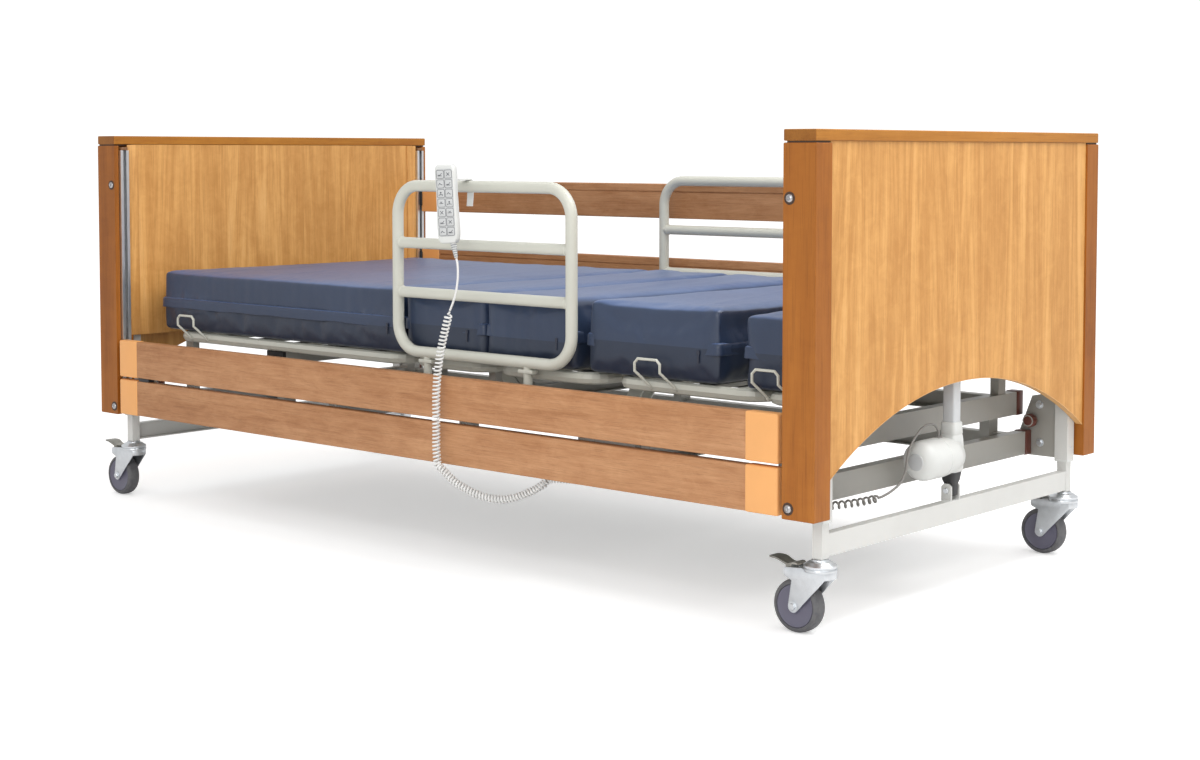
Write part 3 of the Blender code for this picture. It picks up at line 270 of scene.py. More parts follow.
def coated_cover(name, color, light):
    """Polyurethane-coated stretch knit: soft sheen, tiny knit cells and slack creasing, a painted
    reflection that lightens upward faces and, off the flap, painted shade below the flap's hem.
    """
    graph = Graph(name, color, 0.44)
    cells = graph.add("ShaderNodeTexVoronoi", feature="DISTANCE_TO_EDGE")
    graph.feed(cells.inputs["Vector"], graph.scaled((1.0, 1.0, 1.0)))
    cells.inputs["Scale"].default_value = 950.0
    drift = graph.noise(5.0, 5.0, 0.6)
    slack = graph.noise(16.0, 3.0, 0.5, (1.0, 0.35, 1.0), 0.6)
    rub = graph.noise(70.0, 5.0, 0.65)
    base = graph.ramp(drift, (0.3, color), (0.75, light))
    # Painted reflection: faces whose normal points up get their colour multiplied by up to 3,
    # standing in for the light that the coated top reflects at a grazing view.
    base = graph.mix(graph.ramp(graph.facing("Z"), (0.55, 0.0), (0.95, 1.0)), base,
                     (3.0, 3.0, 3.1), "MULTIPLY")
    # Painted shade: below a height near the flap's hem the cover's colour is multiplied by 0.62,
    # standing in for the shadow under the flap; the flap material (seam -1) gets none.
    seam = -1.0 if name == "navy_flap" else ORIGIN.z + 0.479
    low = graph.math("LESS_THAN", graph.axis("Z"), seam)
    base = graph.mix(low, base, (0.62, 0.62, 0.62), "MULTIPLY")
    knit = graph.bump(cells.outputs["Distance"], 0.25, 0.0002)
    ripple = graph.bump(slack, 0.16, 0.006, knit)
    graph.set(base=base, rough=graph.math("MULTIPLY_ADD", rub, 0.14, 0.33), sheen=0.05,
              specular=0.55, normal=ripple)
    return graph.material


def tread_rubber():
    graph = Graph("tyre_rubber", (0.105, 0.104, 0.112), 0.58)
    dust = graph.noise(60.0, 6.0, 0.7)
    base = graph.ramp(dust, (0.35, (0.085, 0.085, 0.092)), (0.8, (0.15, 0.148, 0.15)))
    graph.set(base=base, normal=graph.bump(graph.noise(800.0), 0.25, 0.0003))
    return graph.material


OAK = board_grain("oak_laminate", "Z", (0.52, 0.245, 0.066), (0.68, 0.355, 0.112),
                  (0.79, 0.45, 0.17), board=0.118, coat=0.04, rough=0.5, ring=13.0,
                  turns=4.0, fibre=0.6)
POST_WOOD = board_grain("stained_post", "Z", (0.24, 0.072, 0.006), (0.325, 0.104, 0.01),
                        (0.385, 0.132, 0.015), coat=0.05, rough=0.48, ring=12.0, turns=3.0,
                        fibre=0.6)
CAP_WOOD = board_grain("stained_cap", "Y", (0.32, 0.11, 0.01), (0.405, 0.158, 0.016),
                       (0.48, 0.2, 0.026), coat=0.06, rough=0.46, ring=12.0, turns=3.0,
                       fibre=0.6)
RAIL_WOOD = board_grain("walnut_rail", "X", (0.195, 0.074, 0.025), (0.39, 0.178, 0.075),
                        (0.56, 0.3, 0.15), coat=0.05, rough=0.5, ring=14.0, turns=1.6,
                        fibre=0.8, pore=900.0)
OAK_EDGE = moulded("oak_edging", (0.66, 0.36, 0.13), 0.4)
CREAM = painted("cream_coat", (0.575, 0.575, 0.505))
PALE = painted("pale_coat", (0.645, 0.645, 0.62))
PALE_COLUMN = painted("column_coat", (0.61, 0.625, 0.635), 0.32)
GREY = painted("grey_coat", (0.36, 0.35, 0.318), 0.36)
END_COAT = two_tone("end_coat", (0.645, 0.645, 0.62), (0.36, 0.35, 0.318))
ALUMINIUM = metal("anodised", (0.72, 0.73, 0.74), 0.34, "Z")
BRIGHT_ROD = metal("bright_rod", (0.7, 0.7, 0.71), 0.22, "X")
ZINC = metal("zinc_plate", (0.74, 0.77, 0.8), 0.3, None, 0.06, 0.18)
PEDAL_ZINC = metal("pedal_plate", (0.42, 0.41, 0.37), 0.36, None, 0.2, 0.45)
CHROME = metal("chrome_bolt", (0.52, 0.51, 0.52), 0.24, None, 0.02, 0.2)
WHITE = moulded("white_moulding", (0.68, 0.69, 0.67), 0.38)
LABEL = moulded("grey_label", (0.5, 0.51, 0.515), 0.3, 0.02)
KEYPAD = moulded("keypad_film", (0.55, 0.56, 0.56), 0.34, 0.05)
KEY_LINE = moulded("keypad_print", (0.055, 0.06, 0.075), 0.5, 0.02)
RIB = moulded("relief_rib", (0.3, 0.31, 0.32), 0.5, 0.02)
BLACK = moulded("black_moulding", (0.022, 0.022, 0.024), 0.46)
ORANGE = moulded("tan_end_cap", (0.83, 0.4, 0.135), 0.44, 0.14)
MAROON = moulded("brown_red_cap", (0.12, 0.03, 0.018), 0.36)
CUP = moulded("bolt_cup", (0.05, 0.022, 0.01), 0.5)
BROWN_PLUG = moulded("brown_plug", (0.2, 0.09, 0.035), 0.45)
NAVY = coated_cover("navy_cover", (0.016, 0.03, 0.068), (0.024, 0.042, 0.088))
NAVY_FLAP = coated_cover("navy_flap", (0.017, 0.031, 0.07), (0.024, 0.042, 0.088))
ZIP = moulded("zip_pull", (0.02, 0.025, 0.045), 0.4)
RUBBER = tread_rubber()
HUB = moulded("wheel_hub", (0.13, 0.125, 0.172), 0.42)
CORD_WHITE = moulded("white_sheath", (0.78, 0.78, 0.765), 0.4, 0.03)
CORD_GREY = moulded("grey_sheath", (0.225, 0.215, 0.2), 0.46, 0.03)


# ---------------------------------------------------------------- mesh helpers
def to_mesh(bm, name):
    bmesh.ops.recalc_face_normals(bm, faces=bm.faces)
    mesh = bpy.data.meshes.new(name)
    bm.to_mesh(mesh)
    bm.free()
    return mesh


def linked(name, data):
    """A new object of the scene that holds this data."""
    obj = bpy.data.objects.new(name, data)
    bpy.context.scene.collection.objects.link(obj)
    return obj


def baked(obj):
    graph = bpy.context.evaluated_depsgraph_get()
    return bpy.data.meshes.new_from_object(obj.evaluated_get(graph))


def corners():
    """Each corner of the bed: its end, its hand and the label of the two."""
    for end in (HEAD, FOOT):
        for hand in (NEAR, FAR):
            yield end, hand, f"{END_NAMES[end]}_{HAND_NAMES[hand]}"


def show(name, mesh, material, body, angle=40.0, at=(0, 0, 0), turn=None):
    """Link a mesh as a piece of the bed that moves with a body."""
    obj = linked(name, mesh)
    matrix = Matrix.Translation(ORIGIN + Vector(at))
    obj.matrix_world = matrix @ turn if turn is not None else matrix
    if not mesh.materials:
        mesh.materials.append(material)
    mesh.shade_smooth()
    mesh.set_sharp_from_angle(angle=math.radians(angle))
    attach(obj, body)
    return obj


def skin(bm, rings, closed=False):
    """Faces between neighbouring rings of equal length."""
    for a, b in zip(rings, rings[1:] + rings[:1] if closed else rings[1:]):
        for k in range(len(a)):
            after = (k + 1) % len(a)
            bm.faces.new((a[k], a[after], b[after], b[k]))


def rounded_box(x0, x1, y0, y1, z0, z1, radius=0.002, segments=3, name="box"):
    bm = bmesh.new()
    bmesh.ops.create_cube(bm, size=1.0)
    size = (abs(x1 - x0), abs(y1 - y0), abs(z1 - z0))
    bmesh.ops.scale(bm, verts=bm.verts, vec=size)
    bmesh.ops.translate(bm, verts=bm.verts, vec=((x0 + x1) / 2, (y0 + y1) / 2, (z0 + z1) / 2))
    if radius:
        bmesh.ops.bevel(bm, geom=list(bm.edges), offset=radius, segments=segments,
                        affect="EDGES", profile=0.5)
    return to_mesh(bm, name)


def spot(axis, u, v, w):
    return {"X": (w, u, v), "Y": (u, w, v), "Z": (u, v, w)}[axis]


def plate(axis, outline, low, high, radius=0.0, segments=2, name="plate"):
    """Extruded outline, with softened rims."""
    bm = bmesh.new()
    base = bm.faces.new([bm.verts.new(spot(axis, u, v, low)) for u, v in outline])
    grown = bmesh.ops.extrude_face_region(bm, geom=[base])["geom"]
    moved = [item for item in grown if isinstance(item, bmesh.types.BMVert)]
    bmesh.ops.translate(bm, verts=moved, vec=spot(axis, 0, 0, high - low))
    if radius:
        index = "XYZ".index(axis)
        rims = [edge for edge in bm.edges
                if abs(edge.verts[0].co[index] - edge.verts[1].co[index]) < 1e-7]
        bmesh.ops.bevel(bm, geom=rims, offset=radius, segments=segments, affect="EDGES",
                        profile=0.5)
    return to_mesh(bm, name)


def lathe(profile, sides, axis="Z", centre=(0, 0, 0), name="turned"):
    """Closed solid of revolution; a point of zero radius closes an end."""
    bm = bmesh.new()
    rings = []
    for radius, height in profile:
        count = 1 if radius < 1e-6 else sides
        rings.append([bm.verts.new((radius * math.cos(2 * math.pi * k / sides),
                                    radius * math.sin(2 * math.pi * k / sides), height))
                      for k in range(count)])
    for a, b in zip(rings, rings[1:]):
        for k in range(sides):
            loop = (a[k % len(a)], a[(k + 1) % len(a)], b[(k + 1) % len(b)], b[k % len(b)])
            corners = list(dict.fromkeys(loop))
            if len(corners) > 2:
                bm.faces.new(corners)
    turn = {"Z": Matrix(), "Y": Matrix.Rotation(math.radians(90), 4, "X"),
            "X": Matrix.Rotation(math.radians(90), 4, "Y")}[axis]
    bmesh.ops.transform(bm, matrix=Matrix.Translation(centre) @ turn, verts=bm.verts)
    return to_mesh(bm, name)


def round_curve(name, points, radius, resolution, cyclic=False):
    """Curve object of round section along points."""
    curve = bpy.data.curves.new(name, "CURVE")
    curve.dimensions = "3D"
    curve.bevel_depth = radius
    curve.bevel_resolution = resolution
    curve.use_fill_caps = not cyclic
    spline = curve.splines.new("POLY")
    spline.points.add(len(points) - 1)
    for item, point in zip(spline.points, points):
        item.co = (*point, 1.0)
    spline.use_cyclic_u = cyclic
    return linked(name, curve)


def tube(points, radius, cyclic=False, resolution=6, name="tube"):
    """Mesh of a round tube along points."""
    obj = round_curve(name, points, radius, resolution, cyclic)
    mesh = baked(obj)
    bpy.data.objects.remove(obj)
    return mesh


def joined(meshes, name):
    bm = bmesh.new()
    for mesh in meshes:
        bm.from_mesh(mesh)
    return to_mesh(bm, name)


def rounded_loop(u0, u1, v0, v1, radius, steps=10):
    corners = ((u1 - radius, v1 - radius, 0), (u0 + radius, v1 - radius, 90),
               (u0 + radius, v0 + radius, 180), (u1 - radius, v0 + radius, 270))
    points = []
    for cu, cv, start in corners:
        for k in range(steps + 1):
            angle = math.radians(start + 90 * k / steps)
            points.append((cu + radius * math.cos(angle), cv + radius * math.sin(angle)))
    return points


def catmull(anchors, per_span=16):
    anchors = [Vector(point) for point in anchors]
    padded = [anchors[0] * 2 - anchors[1], *anchors, anchors[-1] * 2 - anchors[-2]]
    points = []
    for k in range(1, len(padded) - 2):
        a, b, c, d = padded[k - 1:k + 3]
        for step in range(per_span):
            t = step / per_span
            points.append(0.5 * (2 * b + (c - a) * t + (2 * a - 5 * b + 4 * c - d) * t ** 2
                                 + (3 * b - a - 3 * c + d) * t ** 3))
    points.append(anchors[-1])
    return points


def route_length(points):
    return sum((b - a).length for a, b in zip(points, points[1:]))


def resampled(points, count, crowd=0.0):
    """Points along a route, evenly spaced or, with crowd, closer together towards its end."""
    total, result, travelled, index = route_length(points), [], 0.0, 0
    for k in range(count):
        share = k / (count - 1)
        target = total * share * (1.0 + crowd - crowd * share)
        while index < len(points) - 2:
            step = (points[index + 1] - points[index]).length
            if travelled + step >= target:
                break
            travelled += step
            index += 1
        step = (points[index + 1] - points[index]).length
        share = 0.0 if step < 1e-12 else min(1.0, (target - travelled) / step)
        result.append(points[index].lerp(points[index + 1], share))
    return result


# ---------------------------------------------------------------- carried-over CAD nodes
def dress(node, material, bevel=0.0, angle=35.0):
    """Give a kept CAD node its finish and, where its edges are cut or moulded, soft arrises."""
    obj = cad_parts[node]
    obj.data.materials.clear()
    obj.data.materials.append(material)
    if bevel:
        obj.modifiers.new("weld", "WELD").merge_threshold = 0.00002
        modifier = obj.modifiers.new("arris", "BEVEL")
        modifier.width = bevel
        modifier.segments = 2
        modifier.limit_method = "ANGLE"
        modifier.angle_limit = math.radians(angle)
        modifier.harden_normals = True
    return obj


def dress_frame():
    for end in END_NAMES.values():
        dress(end + "_panel", OAK)
        dress(end + "_cap_rail", CAP_WOOD)
        dress(end + "_leg_frame", PALE, 0.0012)
        dress(end + "_end_frame", END_COAT)
        dress(end + "_lift_rod", ALUMINIUM)
        for hand in HAND_NAMES.values():
            dress(f"{end}_{hand}_post", POST_WOOD, 0.0018)
            dress(f"{end}_{hand}_channel", ALUMINIUM, 0.0004)
    dress("chassis", GREY)
    dress("handset_hook", WHITE, 0.0009)
    for material, nodes in (
            (CREAM, ("seat_frame", "backrest_frame", "thigh_frame", "calf_frame")),
            (WHITE, ("control_box", "backrest_drive", "thigh_drive")),
            (BRIGHT_ROD, ("backrest_drive_rod", "thigh_drive_rod"))):
        for node in nodes:
            dress(node, material)


# ---------------------------------------------------------------- timber ends: fittings
def post_fittings():
    bolt = lathe([(0.0, 0.0042), (0.0022, 0.004), (0.0022, 0.0028), (0.0034, 0.0028),
                  (0.004, 0.0036), (0.0056, 0.003), (0.0072, 0.0018), (0.0078, 0.0004),
                  (0.0078, -0.0004), (0.0, -0.0004)], 32, name="dome_bolt")
    cup = lathe([(0.0, 0.0007), (0.0112, 0.0007), (0.0118, 0.0), (0.0118, -0.0003),
                 (0.0, -0.0003)], 32, name="bolt_cup")
    for end, hand, label in corners():
        facing = Matrix.Rotation(math.radians(-90 * hand), 4, "X")
        for index, z in enumerate((0.785, 0.228)):
            where = (end * 1.043, hand * 0.5313, z)
            show(f"{label}_bolt_{index}", bolt, CHROME, "platform", at=where, turn=facing)
            show(f"{label}_cup_{index}", cup, CUP, "platform", at=where,
                 turn=facing)
        plug = rounded_box(end * 1.0225, end * 1.0428, hand * 0.4955, hand * 0.5145, 0.8722,
                           0.88, 0.0012, name="channel_plug")
        show(label + "_channel_plug", plug, BROWN_PLUG, "platform")


ARCH_STEPS, ARCH_TOP, ARCH_RADIUS = 64, 0.4186, 0.89
EDGING_SECTION = ((1.096, 0.0002), (1.0968, 0.0006), (1.0968, -0.0012), (1.0818, -0.0012),
                  (1.0818, 0.0002))


def panel_fittings():
    """Lipped edge band round the arch, the line of the inner cover strip, and a dark strip of
    painted shade in the gap under each cap rail.
    """
    for end in (HEAD, FOOT):
        bm = bmesh.new()
        rows = []
        for k in range(ARCH_STEPS + 1):
            y = -0.48 + 0.96 * k / ARCH_STEPS
            z = ARCH_TOP - ARCH_RADIUS + math.sqrt(ARCH_RADIUS ** 2 - y ** 2)
            rows.append([bm.verts.new((end * x, y, z + dz)) for x, dz in EDGING_SECTION])
        skin(bm, rows)
        bm.faces.new(rows[0])
        bm.faces.new(list(reversed(rows[-1])))
        show(END_NAMES[end] + "_arch_edging", to_mesh(bm, "arch_edging"), OAK_EDGE, "platform")
        for hand in (NEAR, FAR):
            strip = rounded_box(end * 1.0285, end * 1.0315, hand * 0.46, hand * 0.4925, 0.406,
                                0.886, 0.0006, 2, "cover_strip")
            show(f"{END_NAMES[end]}_{HAND_NAMES[hand]}_cover_strip", strip, OAK, "platform")
            # Painted shade: a thin dark strip in the bolt-cup colour fills the gap between each
            # post's top and the cap rail, standing in for the shadow in that gap.
            gap_shade = rounded_box(end * 1.035, end * 1.0965, hand * 0.4835, hand * 0.5285, 0.8838,
                                 0.8872, 0.0004, 1, "painted_gap_shade")
            show(f"{END_NAMES[end]}_{HAND_NAMES[hand]}_painted_gap_shade", gap_shade, CUP, "platform")


# ---------------------------------------------------------------- side rails
def rail_board(low, high, hand):
    """Plank with rounded arrises and a finger groove on its bed-side face."""
    outer, inner = 0.5298, 0.506
    round_off = 0.003
    groove_top, groove_low, depth = high - 0.019, high - 0.0225, 0.003

    def arris(y, z, start):
        angles = [math.radians(start + 22.5 * k) for k in range(5)]
        return [(y + round_off * math.cos(a), z + round_off * math.sin(a)) for a in angles]

    outline = (arris(outer - round_off, high - round_off, 0)
               + arris(inner + round_off, high - round_off, 90))
    outline += [(inner, groove_top), (inner + depth, groove_top - 0.0006),
                (inner + depth, groove_low + 0.0006), (inner, groove_low)]
    outline += (arris(inner + round_off, low + round_off, 180)
                + arris(outer - round_off, low + round_off, 270))
    return plate("X", [(hand * y, z) for y, z in outline], -0.952, 0.952, name="rail_board")


def rail_cap(end, low, high, hand):
    """Moulded end cap: a wrap-round shell with a rounded mouth."""
    return rounded_box(end * 0.945, end * 1.0193, hand * 0.5048, hand * 0.531, low - 0.001,
                       high + 0.001, 0.0042, 4, "rail_cap")


def rail_slider(end, middle):
    neck = rounded_box(end * 1.014, end * 1.029, -0.003, 0.003, middle - 0.028, middle + 0.028,
                       0.0008, 2)
    block = rounded_box(end * 1.0245, end * 1.041, -0.0078, 0.0078, middle - 0.03,
                        middle + 0.03, 0.0015, 2)
    return joined([neck, block], "rail_slider")


def side_rails():
    for hand in (NEAR, FAR):
        for level, low, high, lift in (("upper", 0.3065, 0.396, 0.39),
                                       ("lower", 0.212, 0.298, 0.296)):
            name = f"{HAND_NAMES[hand]}_{level}_rail"
            body = name + "_body"
            rise = lift if hand == FAR else 0.0
            board = show(name + "_board", rail_board(low + rise, high + rise, hand), RAIL_WOOD,
                         body, 50)
            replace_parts(board, name)
            for end in (HEAD, FOOT):
                tag = f"{name}_{END_NAMES[end]}"
                show(tag + "_cap", rail_cap(end, low + rise, high + rise, hand), ORANGE, body,
                     50)
                show(tag + "_slider", rail_slider(end, (low + high) / 2 + rise), BLACK, body,
                     at=(0, hand * 0.505, 0))


# ---------------------------------------------------------------- grab rails
def grab_rails():
    x0, x1, z0, z1 = -0.0635, 0.452, 0.433, 0.7946
    radius = 0.0125
    for hand in (NEAR, FAR):
        y = hand * GRAB_Y
        loop = [Vector((x, y, z)) for x, z in rounded_loop(x0, x1, z0, z1, 0.062, 12)]
        parts = [tube(loop, radius, True, 8)]
        for z in (0.562, 0.67):
            parts.append(tube([Vector((x0, y, z)), Vector((x1, y, z))], radius * 0.96, False, 8))
            for x, side in ((x0, 1), (x1, -1)):
                bead = [(0.0, -0.001), (radius * 0.97, -0.001), (radius * 1.1, 0.0012),
                        (radius * 0.98, 0.0036), (0.0, 0.0036)]
                parts.append(lathe(bead, 32, "X", (x + side * (radius + 0.0008), y, z)))
        for x in (0.03, 0.33):
            route = catmull([(x, y, z0 - 0.004), (x, y, 0.352), (x, y - hand * 0.006, 0.332),
                             (x, y - hand * 0.022, 0.3205), (x, hand * 0.4084, 0.32)], 8)
            parts.append(tube(route, 0.0095, False, 5))
        rail = show(HAND_NAMES[hand] + "_grab_tubes", joined(parts, "grab_tubes"), CREAM,
                    "platform", 55)
        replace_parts(rail, HAND_NAMES[hand] + "_grab_rail")
        for index, x in enumerate((0.03, 0.33)):
            foot = rounded_box(x - 0.02, x + 0.02, y - 0.0105, y + 0.0105, 0.4105, 0.419,
                               0.002, 3, "grab_saddle")
            show(f"{HAND_NAMES[hand]}_grab_saddle_{index}", foot, CREAM, "platform")


# ---------------------------------------------------------------- handset
HANDSET_TURN = (Matrix.Rotation(math.radians(22.0), 4, "Z")
                @ Matrix.Rotation(math.radians(-3.0), 4, "Y"))
HANDSET_AT = (0.1923, -0.553, 0.7605)
HANDSET_THICK = 0.0215


def handset_outline(inset=0.0):
    """Pendant outline: broad round head, a slight waist, a narrower tail."""
    stations = ((-0.0815, 0.0115), (-0.081, 0.015), (-0.0786, 0.0182), (-0.0729, 0.0208),
                (-0.0633, 0.0224), (-0.048, 0.0227), (-0.0192, 0.0219), (0.0192, 0.0212),
                (0.048, 0.0217), (0.0652, 0.0222), (0.0738, 0.0215), (0.0786, 0.0191),
                (0.081, 0.015), (0.0815, 0.011))
    right = [(w - inset, z * (1 - inset / 0.0815)) for z, w in stations]
    return right + [(-x, z) for x, z in reversed(right)]


def icon_strokes(kind):
    """Generic pictograms for the keys, as short strokes in a unit square."""
    return (
        (((-0.8, -0.3), (0.1, -0.3)), ((0.1, -0.3), (0.8, 0.5)), ((-0.8, -0.6), (0.8, -0.6))),
        (((-0.8, -0.2), (0.8, -0.2)), ((-0.4, 0.5), (0.0, 0.1)), ((0.0, 0.1), (0.4, 0.5))),
        (((-0.8, -0.4), (-0.2, 0.3)), ((-0.2, 0.3), (0.2, -0.2)), ((0.2, -0.2), (0.8, -0.4))),
        (((-0.6, -0.6), (0.6, 0.6)), ((-0.6, 0.6), (0.6, -0.6))),
        (((-0.8, -0.5), (0.8, -0.5)), ((-0.8, -0.5), (-0.8, -0.8)), ((0.8, -0.5), (0.8, -0.8)),
         ((0.0, -0.3), (0.0, 0.6)), ((-0.3, 0.3), (0.0, 0.6)), ((0.3, 0.3), (0.0, 0.6))),
    )[kind]


def stroke(bm, a, b, y, width, height):
    along = (b - a).normalized()
    side = Vector((-along.y, along.x)) * width
    ring = [a + side - along * width, b + side + along * width, b - side + along * width,
            a - side - along * width]
    low = [bm.verts.new((p.x, y, p.y)) for p in ring]
    high = [bm.verts.new((p.x, y - height, p.y)) for p in ring]
    bm.faces.new(high)
    bm.faces.new(list(reversed(low)))
    skin(bm, [low, high])


def handset_piece(name, mesh, material, angle, turn=HANDSET_TURN):
    return show(name, mesh, material, "platform", angle, HANDSET_AT, turn)


def handset():
    half = HANDSET_THICK / 2
    shell = plate("Y", handset_outline(), -half, half, 0.0042, 4, "handset_shell")
    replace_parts(handset_piece("handset_shell", shell, WHITE, 60), "handset")
    seam = plate("Y", handset_outline(-0.0002), 0.0012, 0.0018, name="handset_seam")
    handset_piece("handset_seam", seam, LABEL, 60)
    face = -half
    film = plate("Y", rounded_loop(-0.0186, 0.0186, -0.067, 0.0725, 0.006), face - 0.0004,
                 face + 0.001, name="keypad")
    handset_piece("keypad", film, KEYPAD, 40)
    keys, lines = [], bmesh.new()
    for row in range(7):
        for column, x in enumerate((-0.009, 0.009)):
            z = 0.0612 - row * 0.0197
            keys.append(plate("Y", rounded_loop(x - 0.0074, x + 0.0074, z - 0.0077, z + 0.0077,
                                                0.0022, 5), face - 0.00085, face - 0.0002,
                              0.0003, 2))
            border = rounded_loop(x - 0.0081, x + 0.0081, z - 0.0085, z + 0.0085, 0.0026, 4)
            for a, b in zip(border, border[1:] + border[:1]):
                stroke(lines, Vector(a), Vector(b), face - 0.00042, 0.00034, 0.00018)
            for a, b in icon_strokes((row * 2 + column * 3) % 5):
                start = Vector((x + a[0] * 0.005, z + a[1] * 0.005))
                stop = Vector((x + b[0] * 0.005, z + b[1] * 0.005))
                stroke(lines, start, stop, face - 0.00088, 0.00055, 0.00015)
    handset_piece("handset_keys", joined(keys, "handset_keys"), KEYPAD, 40)
    handset_piece("handset_print", to_mesh(lines, "handset_print"), KEY_LINE, 40)
    strain_relief()


def strain_relief():
    """Ribbed sleeve that leans the way the lead hangs."""
    sleeve = [(0.0, 0.004), (0.007, 0.004), (0.0062, -0.001), (0.0035, -0.0345),
              (0.0, -0.0345)]
    top, end = Vector((0.0085, -0.0015, -0.078)), Vector((0.0148, -0.004, -0.113))
    lean = Vector((0, 0, -1)).rotation_difference(end - top).to_matrix().to_4x4()
    turn = HANDSET_TURN @ Matrix.Translation(top) @ lean
    handset_piece("handset_relief", lathe(sleeve[::-1], 28, name="cord_relief"), WHITE, 50, turn)
    ribs = []
    for k in range(7):
        radius, z = 0.0068 - k * 0.00042, -0.0016 - k * 0.0047
        ribs.append(lathe([(0.0, z - 0.0026), (radius - 0.0003, z - 0.0026),
                           (radius, z - 0.0022), (radius, z - 0.0004), (radius - 0.0003, z),
                           (0.0, z)], 28, name="rib"))
    handset_piece("handset_ribs", joined(ribs, "relief_ribs"), RIB, 50, turn)


# ---------------------------------------------------------------- cords
def coil_points(route, radius, turns, per_turn=14, ease=1.2, crowd=0.0):
    """Helix wound about a route, whose first and last turns close in on the route itself."""
    count = int(turns * per_turn) + 1
    centre = resampled(route, count, crowd)
    normal = Vector((0, 1, 0))
    points = []
    for k, middle in enumerate(centre):
        ahead = centre[min(k + 1, count - 1)] - centre[max(k - 1, 0)]
        ahead.normalize()
        normal = (normal - ahead * normal.dot(ahead)).normalized()
        side = ahead.cross(normal)
        angle = 2 * math.pi * k / per_turn
        share = min(1.0, k / (per_turn * ease), (count - 1 - k) / (per_turn * ease))
        reach = radius * share * share
        points.append(middle + normal * (reach * math.cos(angle))
                      + side * (reach * math.sin(angle)))
    return points


def wire(name, points, radius, material, body, resolution):
    """One open round cord along points that are already in the row frame."""
    obj = round_curve(name, points, radius, resolution)
    obj.data.splines[0].use_smooth = True
    obj.data.materials.append(material)
    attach(obj, body)
    return obj


def moved(points):
    return [ORIGIN + Vector(point) for point in points]


THIN_ROUTE = [(0.2131, -0.549, 0.648), (0.2166, -0.5487, 0.6335), (0.2175, -0.5495, 0.606),
              (0.2135, -0.5512, 0.578), (0.2055, -0.552, 0.556), (0.1966, -0.552, 0.5398)]
HANDSET_COIL_ROUTE = [(0.1955, -0.552, 0.5372), (0.182, -0.552, 0.498),
                      (0.169, -0.552, 0.456), (0.16, -0.552, 0.413),
                      (0.155, -0.552, 0.371), (0.154, -0.552, 0.329),
                      (0.154, -0.552, 0.287), (0.154, -0.552, 0.246),
                      (0.159, -0.5515, 0.214), (0.1761, -0.5505, 0.2013),
                      (0.2075, -0.5465, 0.1802), (0.2492, -0.5365, 0.1628),
                      (0.2803, -0.525, 0.1545), (0.3091, -0.512, 0.1531),
                      (0.3367, -0.499, 0.1599), (0.3652, -0.486, 0.1729),
                      (0.3847, -0.475, 0.1861), (0.3959, -0.463, 0.1982),
                      (0.418, -0.43, 0.1965), (0.431, -0.385, 0.19),
                      (0.442, -0.345, 0.181), (0.448, -0.318, 0.178),
                      (0.45, -0.303, 0.185), (0.45, -0.3, 0.1985)]
LIFT_ROUTE = [(1.0595, -0.049, 0.3054), (1.0595, -0.05, 0.317), (1.06, -0.068, 0.332),
              (1.0605, -0.1, 0.333), (1.0605, -0.13, 0.319), (1.061, -0.156, 0.296),
              (1.061, -0.166, 0.272), (1.0605, -0.17, 0.252), (1.059, -0.185, 0.232),
              (1.056, -0.212, 0.219), (1.053, -0.238, 0.212), (1.052, -0.248, 0.211)]
LIFT_COIL_ROUTE = [(1.052, -0.2484, 0.211), (1.0515, -0.266, 0.2105), (1.04, -0.305, 0.208),
                   (1.02, -0.35, 0.2065), (1.004, -0.38, 0.206),
                   (1.003, -0.393, 0.206), (1.003, -0.405, 0.206)]


def cord(obj, points, node, diameter, lay, **more):
    """Hide the CAD cord node that this one stands for."""
    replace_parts(obj, node)


def cords():
    thin = catmull(moved(THIN_ROUTE))
    lead = wire("handset_lead", thin, 0.0023, CORD_WHITE, "platform", 6)
    cord(lead, thin, "handset_cord", 0.0046, "hanging")
    coil = coil_points(catmull(moved(HANDSET_COIL_ROUTE)), 0.0069, 112, 14, crowd=0.2)
    curl = wire("handset_curl", coil, 0.002, CORD_WHITE, "platform", 4)
    cord(curl, coil, "handset_coil", 0.004, "coiled")
    lift = catmull(moved(LIFT_ROUTE))
    lift_lead = wire("lift_lead", lift, 0.0024, CORD_GREY, "foot_base", 6)
    cord(lift_lead, lift, "lift_cord", 0.0048, "loose")
    curl_points = coil_points(catmull(moved(LIFT_COIL_ROUTE)), 0.0062, 12, 20, 0.7)
    mesh = tube([point - ORIGIN for point in curl_points], 0.0021, False, 4, "lift_curl")
    lift_curl = linked("lift_curl", mesh)
    lift_curl.location = ORIGIN
    mesh.materials.append(CORD_GREY)
    mesh.shade_smooth()
    cord(lift_curl, curl_points, "lift_cord_coil", 0.0042, "coiled",
         path=[tuple(point) for point in curl_points])
    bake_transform(lift_curl)


# ---------------------------------------------------------------- lift drives
def ring_stack(levels, sides=40):
    """Loft of rounded squares along Z: (z, half width x, half width y, corner exponent)."""
    bm = bmesh.new()
    rings = []
    for z, half_x, half_y, power in levels:
        ring = []
        for k in range(sides):
            angle = 2 * math.pi * k / sides
            c, s = math.cos(angle), math.sin(angle)
            scale = (abs(c) ** power + abs(s) ** power) ** (-1 / power)
            ring.append(bm.verts.new((half_x * c * scale, half_y * s * scale, z)))
        rings.append(ring)
    skin(bm, rings)
    bm.faces.new(list(reversed(rings[0])))
    bm.faces.new(rings[-1])
    return to_mesh(bm, "housing")


def square_tube(outer, inner, low, high, name="column"):
    bm = bmesh.new()
    loops = []
    for size, z in ((outer, low), (outer, high), (inner, high), (inner, low)):
        points = rounded_loop(-size / 2, size / 2, -size / 2, size / 2, 0.004 * size / outer, 4)
        loops.append([bm.verts.new((u, v, z)) for u, v in points])
    skin(bm, loops, closed=True)
    return to_mesh(bm, name)


